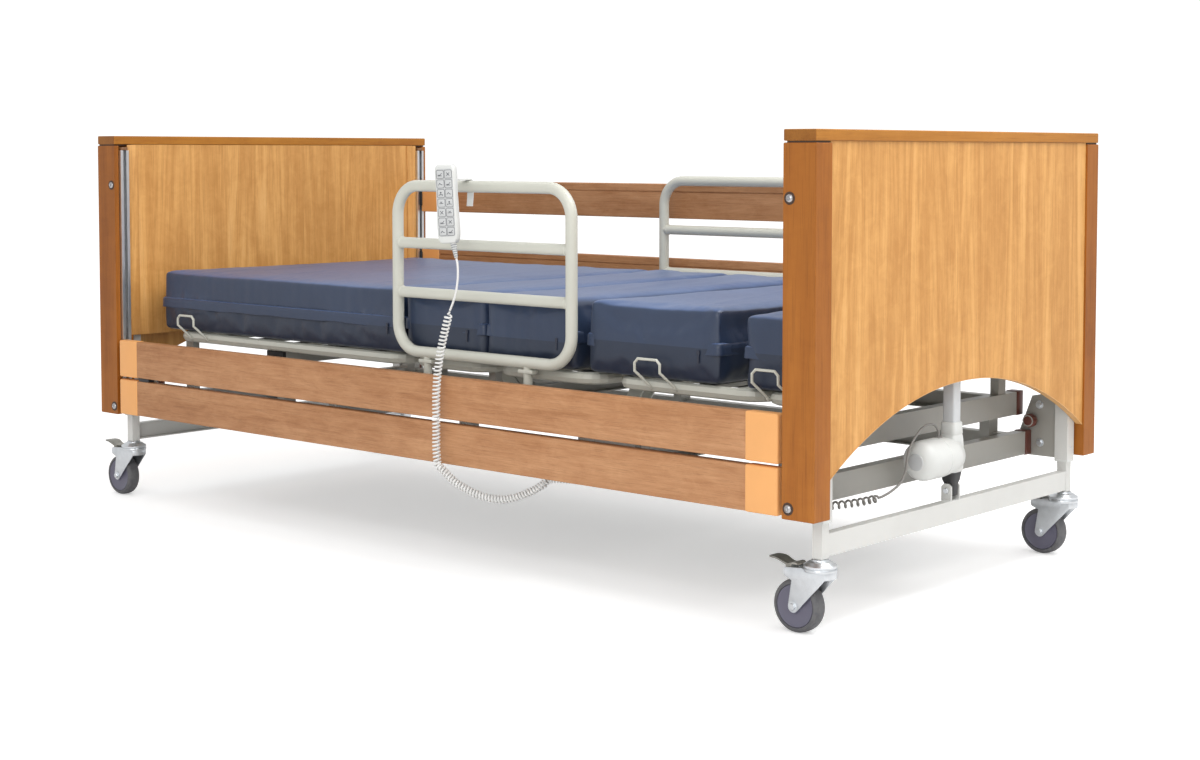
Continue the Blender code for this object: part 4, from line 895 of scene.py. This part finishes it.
def lift_drives():
    housing = ring_stack([(0.231, 0.0166, 0.0192, 5), (0.2322, 0.018, 0.0206, 5),
                          (0.24, 0.0189, 0.0214, 5), (0.252, 0.0194, 0.0219, 5),
                          (0.28, 0.0194, 0.0218, 5), (0.296, 0.0186, 0.0196, 6),
                          (0.304, 0.0176, 0.018, 7), (0.3055, 0.0168, 0.017, 7),
                          (0.3065, 0.0168, 0.017, 7), (0.3072, 0.0176, 0.0178, 7),
                          (0.329, 0.0164, 0.0166, 8), (0.331, 0.015, 0.0152, 8),
                          (0.3312, 0.0136, 0.0136, 8)])
    column = square_tube(0.027, 0.022, 0.3305, 0.79)
    z = 0.265
    motor = lathe([(0.0, -0.0005), (0.03, -0.0005), (0.033, 0.001), (0.036, 0.02),
                   (0.0383, 0.038), (0.0398, 0.056), (0.0398, 0.059), (0.0391, 0.0594),
                   (0.0391, 0.0606), (0.0398, 0.061), (0.0398, 0.096), (0.0396, 0.106),
                   (0.0389, 0.1125), (0.0372, 0.118), (0.034, 0.1228), (0.0292, 0.127),
                   (0.0236, 0.13), (0.0176, 0.1318), (0.0, 0.1318)][::-1], 64, "Y",
                  name="lift_motor")
    disc = lathe([(0.0, 0.1336), (0.015, 0.1336), (0.0162, 0.1332), (0.0168, 0.1326),
                  (0.0172, 0.1314), (0.0, 0.1314)], 48, "Y", name="motor_disc")
    foot = joined([ring_stack([(0.1825, 0.0085, 0.01, 4), (0.184, 0.0105, 0.012, 4),
                               (0.202, 0.0112, 0.0122, 4), (0.2085, 0.012, 0.0132, 4),
                               (0.214, 0.0135, 0.016, 5), (0.2295, 0.016, 0.0188, 5),
                               (0.2314, 0.016, 0.0188, 5)], 32)], "drive_foot")
    screw = lathe([(0.0, 0.0), (0.003, 0.0), (0.0034, -0.0004), (0.0034, -0.0016),
                   (0.0, -0.0016)], 20, name="screw")
    for end in (HEAD, FOOT):
        body = "foot_base" if end == FOOT else "head_base"
        tag = END_NAMES[end]
        turn = Matrix() if end == FOOT else Matrix.Rotation(math.pi, 4, "Z")
        at = (end * COLUMN_X, 0, 0)
        shell = show(tag + "_drive_housing", housing, WHITE, body, 60, at, turn)
        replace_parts(shell, tag + "_lift_drive")
        show(tag + "_drive_column", column, PALE_COLUMN, body, 40, at, turn)
        show(tag + "_drive_motor", motor, WHITE, body, 60,
             (end * COLUMN_X, 0, z), turn)
        show(tag + "_drive_disc", disc, LABEL, body, 60,
             (end * COLUMN_X, 0, z), turn)
        show(tag + "_drive_foot", foot, BLACK, body, 50, at, turn)
        for index, (dy, dz) in enumerate(((0.0135, 0.251), (-0.0135, 0.251), (0.0, 0.289))):
            where = Vector((0.01965 if dz < 0.28 else 0.0193, dy, dz))
            where = (turn @ where) + Vector(at)
            spin = Matrix.Rotation(math.radians(90), 4, "Y")
            show(f"{tag}_drive_screw_{index}", screw, ZINC, body, 50, where, turn @ spin)
        clip = rounded_box(-0.005, 0.005, -0.007, 0.007, -0.001, 0.003, 0.0012, 2, "gland")
        show(tag + "_drive_gland", clip, CORD_GREY, body, 40,
             (end * COLUMN_X, -end * 0.049, 0.3035), turn)
        nut = lathe([(0.0, 0.004), (0.0052, 0.004), (0.006, 0.003), (0.006, 0.0),
                     (0.0, 0.0)], 6, name="nut")
        for side in (-1, 1):
            show(f"{tag}_foot_nut_{side}", nut, ZINC, body, 30,
                 (end * COLUMN_X, side * 0.018, 0.194),
                 Matrix.Rotation(math.radians(-90 * side), 4, "X"))


# ---------------------------------------------------------------- castors
def castor_meshes():
    low, top = 0.106, 0.1296
    ring = lathe([(0.0, low), (0.025, low), (0.0305, low + 0.0012), (0.0315, low + 0.003),
                  (0.0315, low + 0.0062), (0.0307, low + 0.0074), (0.0294, low + 0.0078),
                  (0.0294, low + 0.0088), (0.0309, low + 0.0094), (0.0311, low + 0.0128),
                  (0.0298, low + 0.0142), (0.0262, low + 0.0156), (0.024, low + 0.018),
                  (0.0205, low + 0.02), (0.017, low + 0.0208), (0.0166, top - 0.0012),
                  (0.0158, top), (0.0, top)], 56, name="swivel")
    axle, z = -TRAIL, AXLE_Z
    cheek_line = [(0.0236, low + 0.003), (0.0236, low - 0.01)]
    for k in range(9):
        angle = math.radians(-45 - 18 * k)
        cheek_line.append((axle + 0.0115 * math.cos(angle), z + 0.0115 * math.sin(angle)))
    cheek_line += [(axle - 0.004, 0.086), (-0.067, 0.093), (-0.069, 0.1),
                   (-0.066, 0.1085), (-0.026, 0.112), (-0.024, low + 0.003)]
    parts = []
    for side in (-1, 1):
        y0, y1 = sorted((side * 0.0178, side * 0.0203))
        parts.append(plate("Y", cheek_line, y0, y1, 0.0006, 2))
    arc = [math.radians(-41 + 82 * k / 12) for k in range(13)]
    band = [(0.031 * math.cos(a), 0.031 * math.sin(a)) for a in arc]
    band += [(0.0286 * math.cos(a), 0.0286 * math.sin(a)) for a in reversed(arc)]
    parts.append(plate("Z", band, low - 0.0105, low + 0.002, 0.0005, 2))
    cheeks = joined(parts, "cheeks")
    half, radius = 0.016, WHEEL_RADIUS
    tyre_half = [(0.041, half), (0.044, half), (0.0464, half - 0.0012), (0.0484, half - 0.0038),
                 (0.0495, half - 0.0072), (radius, half - 0.0115)]
    tyre = lathe(tyre_half + [(r, -y) for r, y in reversed(tyre_half)] + [(0.0396, -half + 0.003),
                 (0.0396, half - 0.003), tyre_half[0]], 96, "Y", name="tyre")
    face = [(0.0052, half - 0.0006), (0.012, half - 0.0006), (0.013, half - 0.0016),
            (0.0136, half - 0.0028), (0.02, half - 0.0034), (0.0344, half - 0.0026),
            (0.0366, half - 0.0014), (0.039, half - 0.0012), (0.0393, half - 0.003),
            (0.04, half - 0.003), (0.0403, half - 0.0012), (0.0408, half - 0.001),
            (0.0408, half - 0.004)]
    hub = lathe(face + [(r, -y) for r, y in reversed(face)] + [face[0]], 72, "Y",
                name="hub")
    bolt = joined([lathe([(0.0, 0.0258), (0.0058, 0.0258), (0.0068, 0.0248), (0.0068, 0.0212),
                          (0.0095, 0.0211), (0.0098, 0.0204), (0.0098, 0.0202), (0.0, 0.0202)],
                         6, "Y"),
                   lathe([(0.0, 0.0204), (0.0098, 0.0204), (0.0104, 0.0208), (0.0104, 0.0212),
                          (0.009, 0.0214), (0.0, 0.0214)], 32, "Y"),
                   lathe([(0.0, -0.0213), (0.0102, -0.0213), (0.0102, -0.0203), (0.0, -0.0203)],
                         32, "Y"),
                   lathe([(0.0, -0.0262), (0.0034, -0.0262), (0.0038, -0.0256),
                          (0.0038, -0.025), (0.0066, -0.025), (0.0074, -0.0242),
                          (0.0074, -0.0213), (0.0, -0.0213)], 6, "Y"),
                   lathe([(0.0, 0.0203), (0.0045, 0.0203), (0.0045, -0.0203), (0.0, -0.0203)],
                         20, "Y")], "axle_bolt")
    return ring, cheeks, tyre, hub, bolt, pedal_mesh()


def pedal_mesh():
    """Stamped tongue: a sheet with turned-down sides, kicked up at its tip."""
    line = [(-0.0385, 0.1145), (-0.043, 0.1178), (-0.05, 0.1186), (-0.057, 0.1164),
            (-0.064, 0.115), (-0.072, 0.1172), (-0.08, 0.1208), (-0.088, 0.1232),
            (-0.096, 0.1238), (-0.1045, 0.124)]
    widths = (0.012, 0.0145, 0.0155, 0.015, 0.0142, 0.0146, 0.0158, 0.016, 0.0158, 0.014)
    smooth = catmull([(x, z, w) for (x, z), w in zip(line, widths)], 5)
    bm = bmesh.new()
    thick, rows = 0.0016, []
    for index, point in enumerate(smooth):
        before = smooth[max(index - 1, 0)]
        after = smooth[min(index + 1, len(smooth) - 1)]
        along = Vector((after.x - before.x, after.y - before.y)).normalized()
        up = Vector((along.y, -along.x))
        if up.y < 0:
            up = -up
        width = point.z
        section = [(-width, 0.0034), (-width, 0.0), (-width * 0.93, -0.0009), (width * 0.93,
                   -0.0009), (width, 0.0), (width, 0.0034)]
        top, low = [], []
        for y, drop in section:
            base = Vector((point.x, point.y)) - up * (max(drop, 0.0) if abs(y) > width * 0.98
                                                       else 0.0)
            top.append(bm.verts.new((base.x, y, base.y)))
            inside = Vector((base.x, base.y)) - up * (thick if abs(y) <= width * 0.98 else 0.0)
            low.append(bm.verts.new((inside.x, y * (0.9 if abs(y) > width * 0.98 else 0.93),
                                     inside.y)))
        rows.append(top + list(reversed(low)))
    skin(bm, rows)
    bm.faces.new(rows[0])
    bm.faces.new(list(reversed(rows[-1])))
    arm = plate("Y", [(-0.066, 0.0995), (-0.058, 0.0995), (-0.0555, 0.115), (-0.069, 0.115)],
                -0.014, 0.014, 0.0008, 2, "pedal_arm")
    bm.from_mesh(arm)
    return to_mesh(bm, "pedal")


def castors():
    ring, cheeks, tyre, hub, bolt, pedal = castor_meshes()
    for end, hand, label in corners():
        x, y = end * LEG_X, hand * LEG_Y
        stem, axle = (x, y, 0), (x - TRAIL, y, AXLE_Z)
        fork, wheel = label + "_castor", label + "_wheel_body"
        swivel = show(label + "_swivel_head", ring, ZINC, fork, 35, stem)
        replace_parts(swivel, label + "_castor_fork")
        show(label + "_cheeks", cheeks, ZINC, fork, 35, stem)
        show(label + "_axle_bolt", bolt, ZINC, fork, 35, axle)
        tread = show(label + "_tyre", tyre, RUBBER, wheel, 50, axle)
        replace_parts(tread, label + "_wheel")
        show(label + "_hub", hub, HUB, wheel, 35, axle)
        lever = show(label + "_brake_tongue", pedal, PEDAL_ZINC, label + "_pedal_body",
                     50, stem)
        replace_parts(lever, label + "_pedal")


# ---------------------------------------------------------------- frame fittings
def knob_mesh():
    bm = bmesh.new()
    sides, rings = 60, []
    levels = ((0.0, 0.011), (0.001, 0.0132), (0.0028, 0.0151), (0.0156, 0.0151),
              (0.0186, 0.0134), (0.0204, 0.0098))
    for index, (height, radius) in enumerate(levels):
        ring = []
        for k in range(sides):
            angle = 2 * math.pi * k / sides
            lobe = 0.0011 * (0.5 + 0.5 * math.cos(8 * angle)) if 1 <= index <= 4 else 0.0
            reach = radius - 0.0011 + lobe
            ring.append(bm.verts.new((reach * math.cos(angle), reach * math.sin(angle), height)))
        rings.append(ring)
    skin(bm, rings)
    bm.faces.new(list(reversed(rings[0])))
    bm.faces.new(rings[-1])
    return to_mesh(bm, "knob")


def corner_fittings():
    """Knob, plate bolts, tube cap, sleeve rivet and sleeve lip of each corner."""
    knob = knob_mesh()
    head = lathe([(0.0, 0.0042), (0.0056, 0.0042), (0.0064, 0.0034), (0.0064, 0.0), (0.0, 0.0)],
                 6, name="hex_head")
    washer = lathe([(0.0, 0.0012), (0.0088, 0.0012), (0.0092, 0.0008), (0.0092, 0.0), (0.0, 0.0)],
                   28, name="washer")
    for end, hand, label in corners():
        inward = Matrix.Rotation(math.radians(90 * hand), 4, "X")
        show(label + "_knob", knob, MAROON, "platform", 50,
             (end * 0.999, hand * 0.4378, 0.282), inward)
        for index, (bx, bz) in enumerate(((1.01, 0.3155), (1.012, 0.232))):
            show(f"{label}_plate_washer_{index}", washer, ZINC, "platform", 40,
                 (end * bx, hand * 0.45, bz), inward)
            show(f"{label}_plate_bolt_{index}", head, ZINC, "platform", 30,
                 (end * bx, hand * 0.4488, bz), inward)
        cap = rounded_box(end * 0.9635, end * 0.9915, hand * 0.424, hand * 0.4495, 0.2055,
                          0.2585, 0.0012, 2, "tube_cap")
        show(label + "_tube_cap", cap, MAROON, "platform")
        rivet = lathe([(0.0, 0.0012), (0.002, 0.001), (0.003, 0.0), (0.0, 0.0)], 16,
                      name="rivet")
        show(label + "_sleeve_rivet", rivet, ZINC, "platform", 50,
             (end * (LEG_X + 0.015), hand * LEG_Y, 0.228),
             Matrix.Rotation(math.radians(90 * end), 4, "Y"))
        lip = square_tube(0.0308, 0.0226, 0.1962, 0.201, "sleeve_lip")
        show(label + "_sleeve_lip", lip, WHITE, "platform", 40,
             (end * LEG_X, hand * LEG_Y, 0))


def chassis_fittings():
    for hand in (NEAR, FAR):
        cap = rounded_box(0.944, 0.972, hand * 0.42, hand * 0.446, 0.2915, 0.3445, 0.0012, 2,
                          "tube_cap")
        show(f"upper_tube_cap_{HAND_NAMES[hand]}", cap, MAROON, "platform")
        plug = rounded_box(-0.594, -0.532, hand * 0.393, hand * 0.403, 0.359, 0.391, 0.0015,
                           2, "square_plug")
        show(f"cross_tube_plug_{HAND_NAMES[hand]}", plug, BLACK, "platform")
    bumper = rounded_box(-0.944, -0.902, -0.527, -0.509, 0.2978, 0.3064, 0.0015, 2, "bumper")
    show("rail_bumper", bumper, BLACK, "near_lower_rail_body")
    inlet = rounded_box(0.5395, 0.548, -0.326, -0.296, 0.23, 0.256, 0.002, 2, "inlet")
    show("mains_inlet", inlet, BLACK, "platform")
    lid = rounded_box(0.386, 0.534, -0.3563, -0.2357, 0.281, 0.2838, 0.0012, 2, "lid")
    show("control_lid", lid, WHITE, "platform")
    socket = lathe([(0.0, 0.199), (0.01, 0.199), (0.0122, 0.2004), (0.0122, 0.205),
                    (0.0108, 0.2056), (0.0108, 0.216), (0.0, 0.216)], 32, name="socket_ring")
    show("control_socket", socket, BLACK, "platform", 40, (0.45, -0.3, 0))
    boss = lathe([(0.0, 0.0), (0.0098, 0.0), (0.0104, 0.0008), (0.0104, 0.003), (0.0, 0.003)],
                 28, name="gland_boss")
    show("coil_gland", boss, BLACK, "platform", 40, (1.003, -0.4062, 0.206),
         Matrix.Rotation(math.radians(90), 4, "X"))


# ---------------------------------------------------------------- mattress
def foam_block(x0, x1, seed):
    """Foam section in its slack cover: crowned faces, softened arrises, small gathers."""
    inset = 0.003
    mesh = rounded_box(x0 + inset, x1 - inset, -MATTRESS_HALF + inset, MATTRESS_HALF - inset,
                       MATTRESS_LOW + 0.0015, MATTRESS_HIGH - inset, 0.008, 4, "foam_block")
    obj = linked("foam_block", mesh)
    bpy.context.view_layer.objects.active = obj
    remesh = obj.modifiers.new("remesh", "REMESH")
    remesh.mode = "VOXEL"
    remesh.voxel_size = COVER_CELL
    mesh = baked(obj)
    bpy.data.objects.remove(obj)
    rest = [vertex.co.copy() for vertex in mesh.vertices]
    mesh = inflated(mesh)
    rng = random.Random(seed)
    offset = Vector((rng.random() * 9, rng.random() * 9, rng.random() * 9))
    normals = [vertex.normal.copy() for vertex in mesh.vertices]
    for vertex, start, normal in zip(mesh.vertices, rest, normals):
        move = vertex.co - start
        if move.length > COVER_PUFF:
            move *= COVER_PUFF / move.length
        spot_now = start + move
        top = max(0.0, min(1.0, (start.z - 0.53) / 0.036))
        edge = min(abs(start.x - x0), abs(start.x - x1), MATTRESS_HALF - abs(start.y))
        gather = noise.noise(Vector((start.x * 46, start.y * 46, start.z * 5)) + offset)
        gather *= 0.0015 * math.exp(-edge / 0.045)
        roll = noise.noise(Vector((start.x * 6, start.y * 3.2, 0)) + offset) * 0.0016 * top
        drag = noise.noise(Vector((start.x * 26 + start.y * 7, start.y * 2.4, 4)) + offset)
        drag = 0.0016 * max(0.0, drag - 0.1) * top * 2.2
        if start.z < MATTRESS_LOW + 0.012:
            spot_now.z = max(MATTRESS_LOW - 0.0005, min(spot_now.z, start.z))
            gather = roll = drag = 0.0
        spot_now = spot_now + normal * (gather * (1 - top * 0.4) + roll + drag)
        vertex.co = spot_now
    return mesh


def inflated(mesh):
    """Cloth simulation of the cover under a little inner pressure."""
    obj = linked("cover_sim", mesh)
    pins = obj.vertex_groups.new(name="pin")
    low = [v.index for v in mesh.vertices if v.co.z < MATTRESS_LOW + 0.004]
    pins.add(low, 1.0, "REPLACE")
    cloth = obj.modifiers.new("cloth", "CLOTH")
    settings = cloth.settings
    settings.quality = 5
    settings.mass = 0.3
    settings.tension_stiffness = 18
    settings.compression_stiffness = 10
    settings.shear_stiffness = 8
    settings.bending_stiffness = 0.6
    settings.use_pressure = True
    settings.uniform_pressure_force = COVER_PRESSURE
    settings.vertex_group_mass = "pin"
    settings.shrink_min = -0.012
    settings.effector_weights.gravity = 0
    cloth.collision_settings.use_collision = False
    cloth.point_cache.frame_start = 1
    cloth.point_cache.frame_end = 20
    scene = bpy.context.scene
    for number in range(1, 19):
        scene.frame_set(number)
    result = baked(obj)
    scene.frame_set(1)
    bpy.data.objects.remove(obj)
    return result


def cover_flap(x0, x1, seed):
    """Weather flap that runs round a section over its zip."""
    rng = random.Random(seed)
    offset = Vector((rng.random() * 9, rng.random() * 9, 0))
    swell = 0.0016
    loop = rounded_loop(x0 - swell + 0.0025, x1 + swell - 0.0025, -MATTRESS_HALF - swell + 0.0025,
                        MATTRESS_HALF + swell - 0.0025, 0.01, 6)
    dense = resampled([Vector((u, v, 0)) for u, v in loop + loop[:1]], 420)[:-1]
    section = ((0.018, -0.004), (0.015, 0.0004), (0.006, 0.0008), (-0.002, 0.0013),
               (-0.0062, 0.0017), (-0.0075, 0.0013), (-0.0068, 0.0002), (-0.004, -0.004))
    bm = bmesh.new()
    rows = []
    count = len(dense)
    for k, point in enumerate(dense):
        before, after = dense[k - 1], dense[(k + 1) % count]
        along = (after - before).normalized()
        out = Vector((along.y, -along.x, 0))
        wave = noise.noise(Vector((point.x * 9, point.y * 9, 0)) + offset)
        fine = noise.noise(Vector((point.x * 40, point.y * 40, 3)) + offset)
        row = []
        for dz, reach in section:
            hem = max(0.0, min(1.0, (0.01 - dz) / 0.014))
            flare = reach + hem * (0.001 * wave + 0.0005 * fine)
            height = FLAP_Z + dz + 0.0034 * wave * hem + 0.001 * fine * hem
            row.append(bm.verts.new((point.x + out.x * flare, point.y + out.y * flare, height)))
        rows.append(row)
    skin(bm, rows, closed=True)
    return to_mesh(bm, "cover_flap")


def settle(obj, body, joint):
    """A section without a joint rides its body; one with a joint has its placement baked into its
    mesh and rides no body.
    """
    if joint is None:
        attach(obj, body)
        return
    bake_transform(obj)


def mattress():
    sections = (
        ("backrest", -0.972, -0.072, "backrest", ("platform", -0.08, -0.245), 11),
        ("seat", -0.07, 0.1815, "platform", None, 23),
        ("thigh", 0.1835, 0.443, "thigh", ("platform", 0.19, 0.285), 37),
        ("calf", 0.47, 0.814, "calf", None, 41),
        ("infill", 0.868, 1.012, "calf", None, 53),
    )
    for name, x0, x1, body, joint, seed in sections:
        block = linked(name + "_cover", foam_block(x0, x1, seed))
        flap = linked(name + "_flap", cover_flap(x0, x1, seed + 1))
        pull = linked(name + "_zip_pull", zip_pull(x1 - 0.05))
        for obj, material in ((block, NAVY), (flap, NAVY_FLAP), (pull, ZIP)):
            obj.data.materials.append(material)
            obj.location = ORIGIN
            obj.data.shade_smooth()
        fine = block.modifiers.new("fine", "SUBSURF")
        fine.levels = fine.render_levels = 1
        fine_mesh = baked(block)
        block.modifiers.remove(fine)
        block.data = fine_mesh
        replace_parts(block, name + "_mattress")
        for obj in (block, flap, pull):
            settle(obj, body, joint)


def zip_pull(x):
    slider = rounded_box(x - 0.0035, x + 0.0035, -MATTRESS_HALF - 0.004, -MATTRESS_HALF - 0.0005,
                         0.478, 0.487, 0.001, 2)
    tag = rounded_box(x - 0.002, x + 0.0022, -MATTRESS_HALF - 0.0038, -MATTRESS_HALF - 0.0022,
                      0.462, 0.479, 0.0006, 2)
    return joined([slider, tag], "zip_pull")


# ---------------------------------------------------------------- studio
def studio():
    bm = bmesh.new()
    bmesh.ops.create_grid(bm, x_segments=1, y_segments=1, size=30.0)
    floor = linked("floor", to_mesh(bm, "floor"))
    ground = Graph("studio_floor", (0.9, 0.9, 0.9), 0.8)
    seen = ground.add("ShaderNodeLightPath").outputs["Is Camera Ray"]
    ground.shader.inputs["Emission Color"].default_value = (1.0, 1.0, 1.0, 1.0)
    ground.feed(ground.shader.inputs["Emission Strength"],
                ground.math("MULTIPLY", seen, FLOOR_GLOW))
    floor.data.materials.append(ground.material)
    world = bpy.data.worlds.new("studio")
    world.use_nodes = True
    background = world.node_tree.nodes["Background"]
    background.inputs["Color"].default_value = (1.0, 1.0, 1.0, 1.0)
    path = world.node_tree.nodes.new("ShaderNodeLightPath")
    level = world.node_tree.nodes.new("ShaderNodeMapRange")
    level.inputs["To Min"].default_value = WORLD_LIGHT
    level.inputs["To Max"].default_value = WORLD_SEEN
    world.node_tree.links.new(path.outputs["Is Camera Ray"], level.inputs["Value"])
    world.node_tree.links.new(level.outputs["Result"], background.inputs["Strength"])
    bpy.context.scene.world = world
    for name, place, size, energy in (("key", (5.2, -1.6, 4.6), 3.2, 40.0),
                                      ("side", (2.3, -4.2, 2.2), 2.8, 52.0),
                                      ("inner", (1.6, 0.3, 2.7), 1.8, 46.0)):
        data = bpy.data.lights.new(name, "AREA")
        data.shape = "DISK"
        data.size = size
        data.energy = energy
        lamp = linked(name, data)
        lamp.location = place
        aim = Vector((0.1, 0.0, 0.45)) - Vector(place)
        lamp.rotation_euler = aim.to_track_quat("-Z", "Y").to_euler()
    bpy.context.scene.view_settings.view_transform = "Standard"


def camera():
    data = bpy.data.cameras.new("camera")
    data.lens = 56.71
    data.sensor_width = 36.0
    data.shift_y = -0.1015
    obj = linked("camera", data)
    obj.location = ORIGIN + Vector((3.0176, -3.2681, 0.865))
    obj.rotation_euler = (math.radians(86.82), 0.0, math.radians(41.532))
    bpy.context.scene.camera = obj


camera()
dress_frame()
cords()
studio()
post_fittings()
panel_fittings()
side_rails()
grab_rails()
handset()
lift_drives()
castors()
corner_fittings()
chassis_fittings()
mattress()
